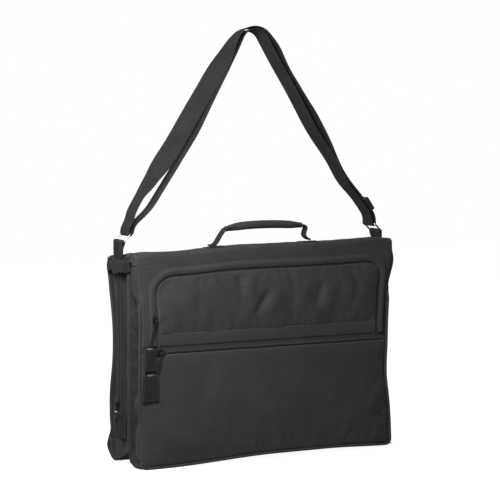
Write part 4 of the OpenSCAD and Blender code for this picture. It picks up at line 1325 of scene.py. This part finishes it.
# tabs that hold the rings
runs = []
for side, word in SIDES:
    low, high = B[f"strap_tab_{word}"]
    out_x = max(abs(low[0]), abs(high[0])) - 1.1
    loop_x, loop_z = out_x - 3.2, HEIGHT + 9
    line = [(out_x, z) for z in np.linspace(low[2], loop_z, 14)]
    line += [(loop_x + 3.2 * math.cos(q), loop_z + 3.2 * math.sin(q))
             for q in np.radians(np.linspace(0, 180, 10))[1:]]
    line += [(loop_x - 2.9, loop_z - 4), (loop_x - 1.2, loop_z - 9), (out_x - 2.25, loop_z - 14)]
    line += [(out_x - 2.25, z) for z in np.linspace(loop_z - 18, low[2] + 2, 8)]
    x, z = resample(line, 2.0).T
    drop = np.maximum(HEIGHT - 10 - z, 0)
    half = np.sqrt(np.maximum((STRAP_W / 2) ** 2 - drop ** 2, 4))   # the foot is rounded
    base = flat_section(STRAP_W, 1.9, 8)
    section = pts(base[:, 0] * half[:, None] / (STRAP_W / 2), base[:, 1])
    attach(tube(f"strap_tab_{word}_webbing", pts(side * x, MID_Y, z), (0, 1, 0), section,
                "webbing"), "shoulder_strap", f"strap_tab_{word}")
    runs += crossed([(side * (out_x + 1.0), MID_Y + a, HEIGHT - 10 + b) for a, b in
                     ((-14, 4), (14, 4), (14, 17), (-14, 17), (-14, 4))], (side, 0, 0))
stitches("strap_tab_stitches", "shoulder_strap", runs)


# ---------- pull tabs ----------
def pull_tab(word, out, up, bulge):
    """A folded webbing tab with a metal eyelet bar at its top."""
    name, body = f"{word}_pull_webbing", f"{word}_zip_pull"
    low, high = B[f"{word}_pull_tab"]
    c, size = (low + high) / 2, high - low
    out, up = np.array(out, float), np.array(up, float)
    side = np.cross(up, out)
    half_s, half_u = abs(size @ np.abs(side)) / 2, abs(size @ np.abs(up)) / 2 - 0.4
    u, v = plane(-1, 1, 12, -1, 1, 18)
    x, y = rounded_top(-1, 1, -1, 1, 0.22, 12, 18)
    pillow = (1 - np.abs(u) ** 4) * (1 - np.abs(v) ** 6)
    p = c + side * (x * half_s * (1 - 0.10 * ease(v, 0.2, 1.0)))[..., None] \
        + up * (y * half_u)[..., None] \
        + out * (0.45 + bulge * pillow + 0.3 * np.sin(v * 2.2))[..., None]
    attach(sheet(name, [(p, pts(x * half_s, y * half_u))], tuple(out), "webbing", 2.0), body,
           f"{word}_pull_tab")
    line = np.array([c + side * a * half_s + up * b * half_u + out * (0.62 + bulge * 0.5)
                     for a, b in ((-0.8, -0.9), (0.8, -0.9), (0.74, 0.78), (-0.74, 0.78),
                                  (-0.8, -0.9))])
    stitches(name + "_stitches", body, [(line, tuple(out))], pitch=2.8)
    top = c + up * (half_u - 1.0) + out * 0.3
    tube(name + "_bar", [top + side * a for a in np.linspace(-5.5, 5.5, 9)], tuple(out),
         round_section(1.6, 10), "nickel", body, levels=1)


pull_tab("arch", FACE_OUT, (0, SIN, COS), 0.5)
pull_tab("pocket", FACE_OUT, (0, SIN, COS), 0.5)
pull_tab("main", (-1, 0, 0), (0, 0, 1), 0.2)

# ---------- CAD nodes that stay: their finish ----------
for finish, nodes in (
        ("nickel", ("ring_left", "ring_right", "hook_stem", "hanger_hook")),
        ("gunmetal", ("adjuster_frame", "adjuster_bar", "arch_slider", "arch_pull",
                      "pocket_slider", "pocket_pull", "main_slider", "main_pull")),
        ("plastic", ("hanger_clamp", "hook_slot_trim", "garment_strap_buckle"))):
    for node in nodes:
        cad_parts[node].data.materials.clear()
        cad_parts[node].data.materials.append(MATERIAL[finish])

settle()
thicken()
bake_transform(upper)
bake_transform(back)

# ---------- floor, light and camera ----------
scene = bpy.context.scene
WHITE = (1.0, 1.0, 1.0)
FLOOR_TONE, FLOOR_GLOW = 0.50, 0.95     # the glow makes the floor read as white in the picture
WORLD_LIGHT = 0.08
g = Graph("floor_paint")
shade = g.blend(g.noise(g.place, 30, 3.0), (FLOOR_TONE,) * 3, (FLOOR_TONE * 0.985,) * 3)
seen = g.node("ShaderNodeLightPath").outputs["Is Camera Ray"]
floor_mesh = bpy.data.meshes.new("floor")
floor_mesh.from_pydata([(-5, -5, 0), (5, -5, 0), (5, 4, 0), (-5, 4, 0)], [], [(0, 1, 2, 3)])
floor_mesh.materials.append(g.set(Base_Color=shade, Roughness=0.9, Emission_Color=WHITE,
                                  Emission_Strength=g.times(seen, FLOOR_GLOW)))
floor = bpy.data.objects.new("floor", floor_mesh)
floor.location.z = -0.0005
scene.collection.objects.link(floor)


def aim(obj, place, target):
    obj.location = place
    obj.rotation_euler = (Vector(target) - Vector(place)).to_track_quat("-Z", "Y").to_euler()
    scene.collection.objects.link(obj)


for name, place, target, size, power in (
        ("key", (-0.66, -0.60, 0.94), (-0.1, 0, 0.62), (0.45, 0.45), 18),
        ("fill", (2.6, -3.2, 1.4), (0, 0, 0.3), (2.4, 2.0), 2),
        ("top", (0.0, 0.7, 3.0), (0, 0, 0), (3.0, 3.0), 12),
        ("back", (-1.6, 2.8, 2.0), (0, 0, 0.4), (2.4, 1.6), 26)):
    light = bpy.data.lights.new(name, "AREA")
    light.shape = "RECTANGLE"
    light.size, light.size_y = size
    light.energy = power
    aim(bpy.data.objects.new(name, light), place, target)

world = bpy.data.worlds.new("studio")   # white to the camera, and dim as a light
world.use_nodes = True
sky = world.node_tree
shown, lit = sky.nodes["Background"], sky.nodes.new("ShaderNodeBackground")
for node, strength in ((shown, 1.0), (lit, WORLD_LIGHT)):
    node.inputs[0].default_value = WHITE + (1.0,)
    node.inputs[1].default_value = strength
seen, mixed = sky.nodes.new("ShaderNodeLightPath"), sky.nodes.new("ShaderNodeMixShader")
for source, socket in ((seen.outputs["Is Camera Ray"], mixed.inputs[0]),
                       (lit.outputs[0], mixed.inputs[1]), (shown.outputs[0], mixed.inputs[2]),
                       (mixed.outputs[0], sky.nodes["World Output"].inputs[0])):
    sky.links.new(source, socket)
scene.world = world
scene.view_settings.view_transform = "Standard"

lens = bpy.data.cameras.new("camera")
lens.lens = 167.75
lens.sensor_width = 36.0
camera = bpy.data.objects.new("camera", lens)
azimuth, elevation, distance = math.radians(-28.0), math.radians(5.03), 4.5525
target = Vector((-0.00748, 0.0, 0.40167))
aim(camera, target + distance * Vector((math.sin(azimuth) * math.cos(elevation),
                                        -math.cos(azimuth) * math.cos(elevation),
                                        math.sin(elevation))), target)
scene.camera = camera
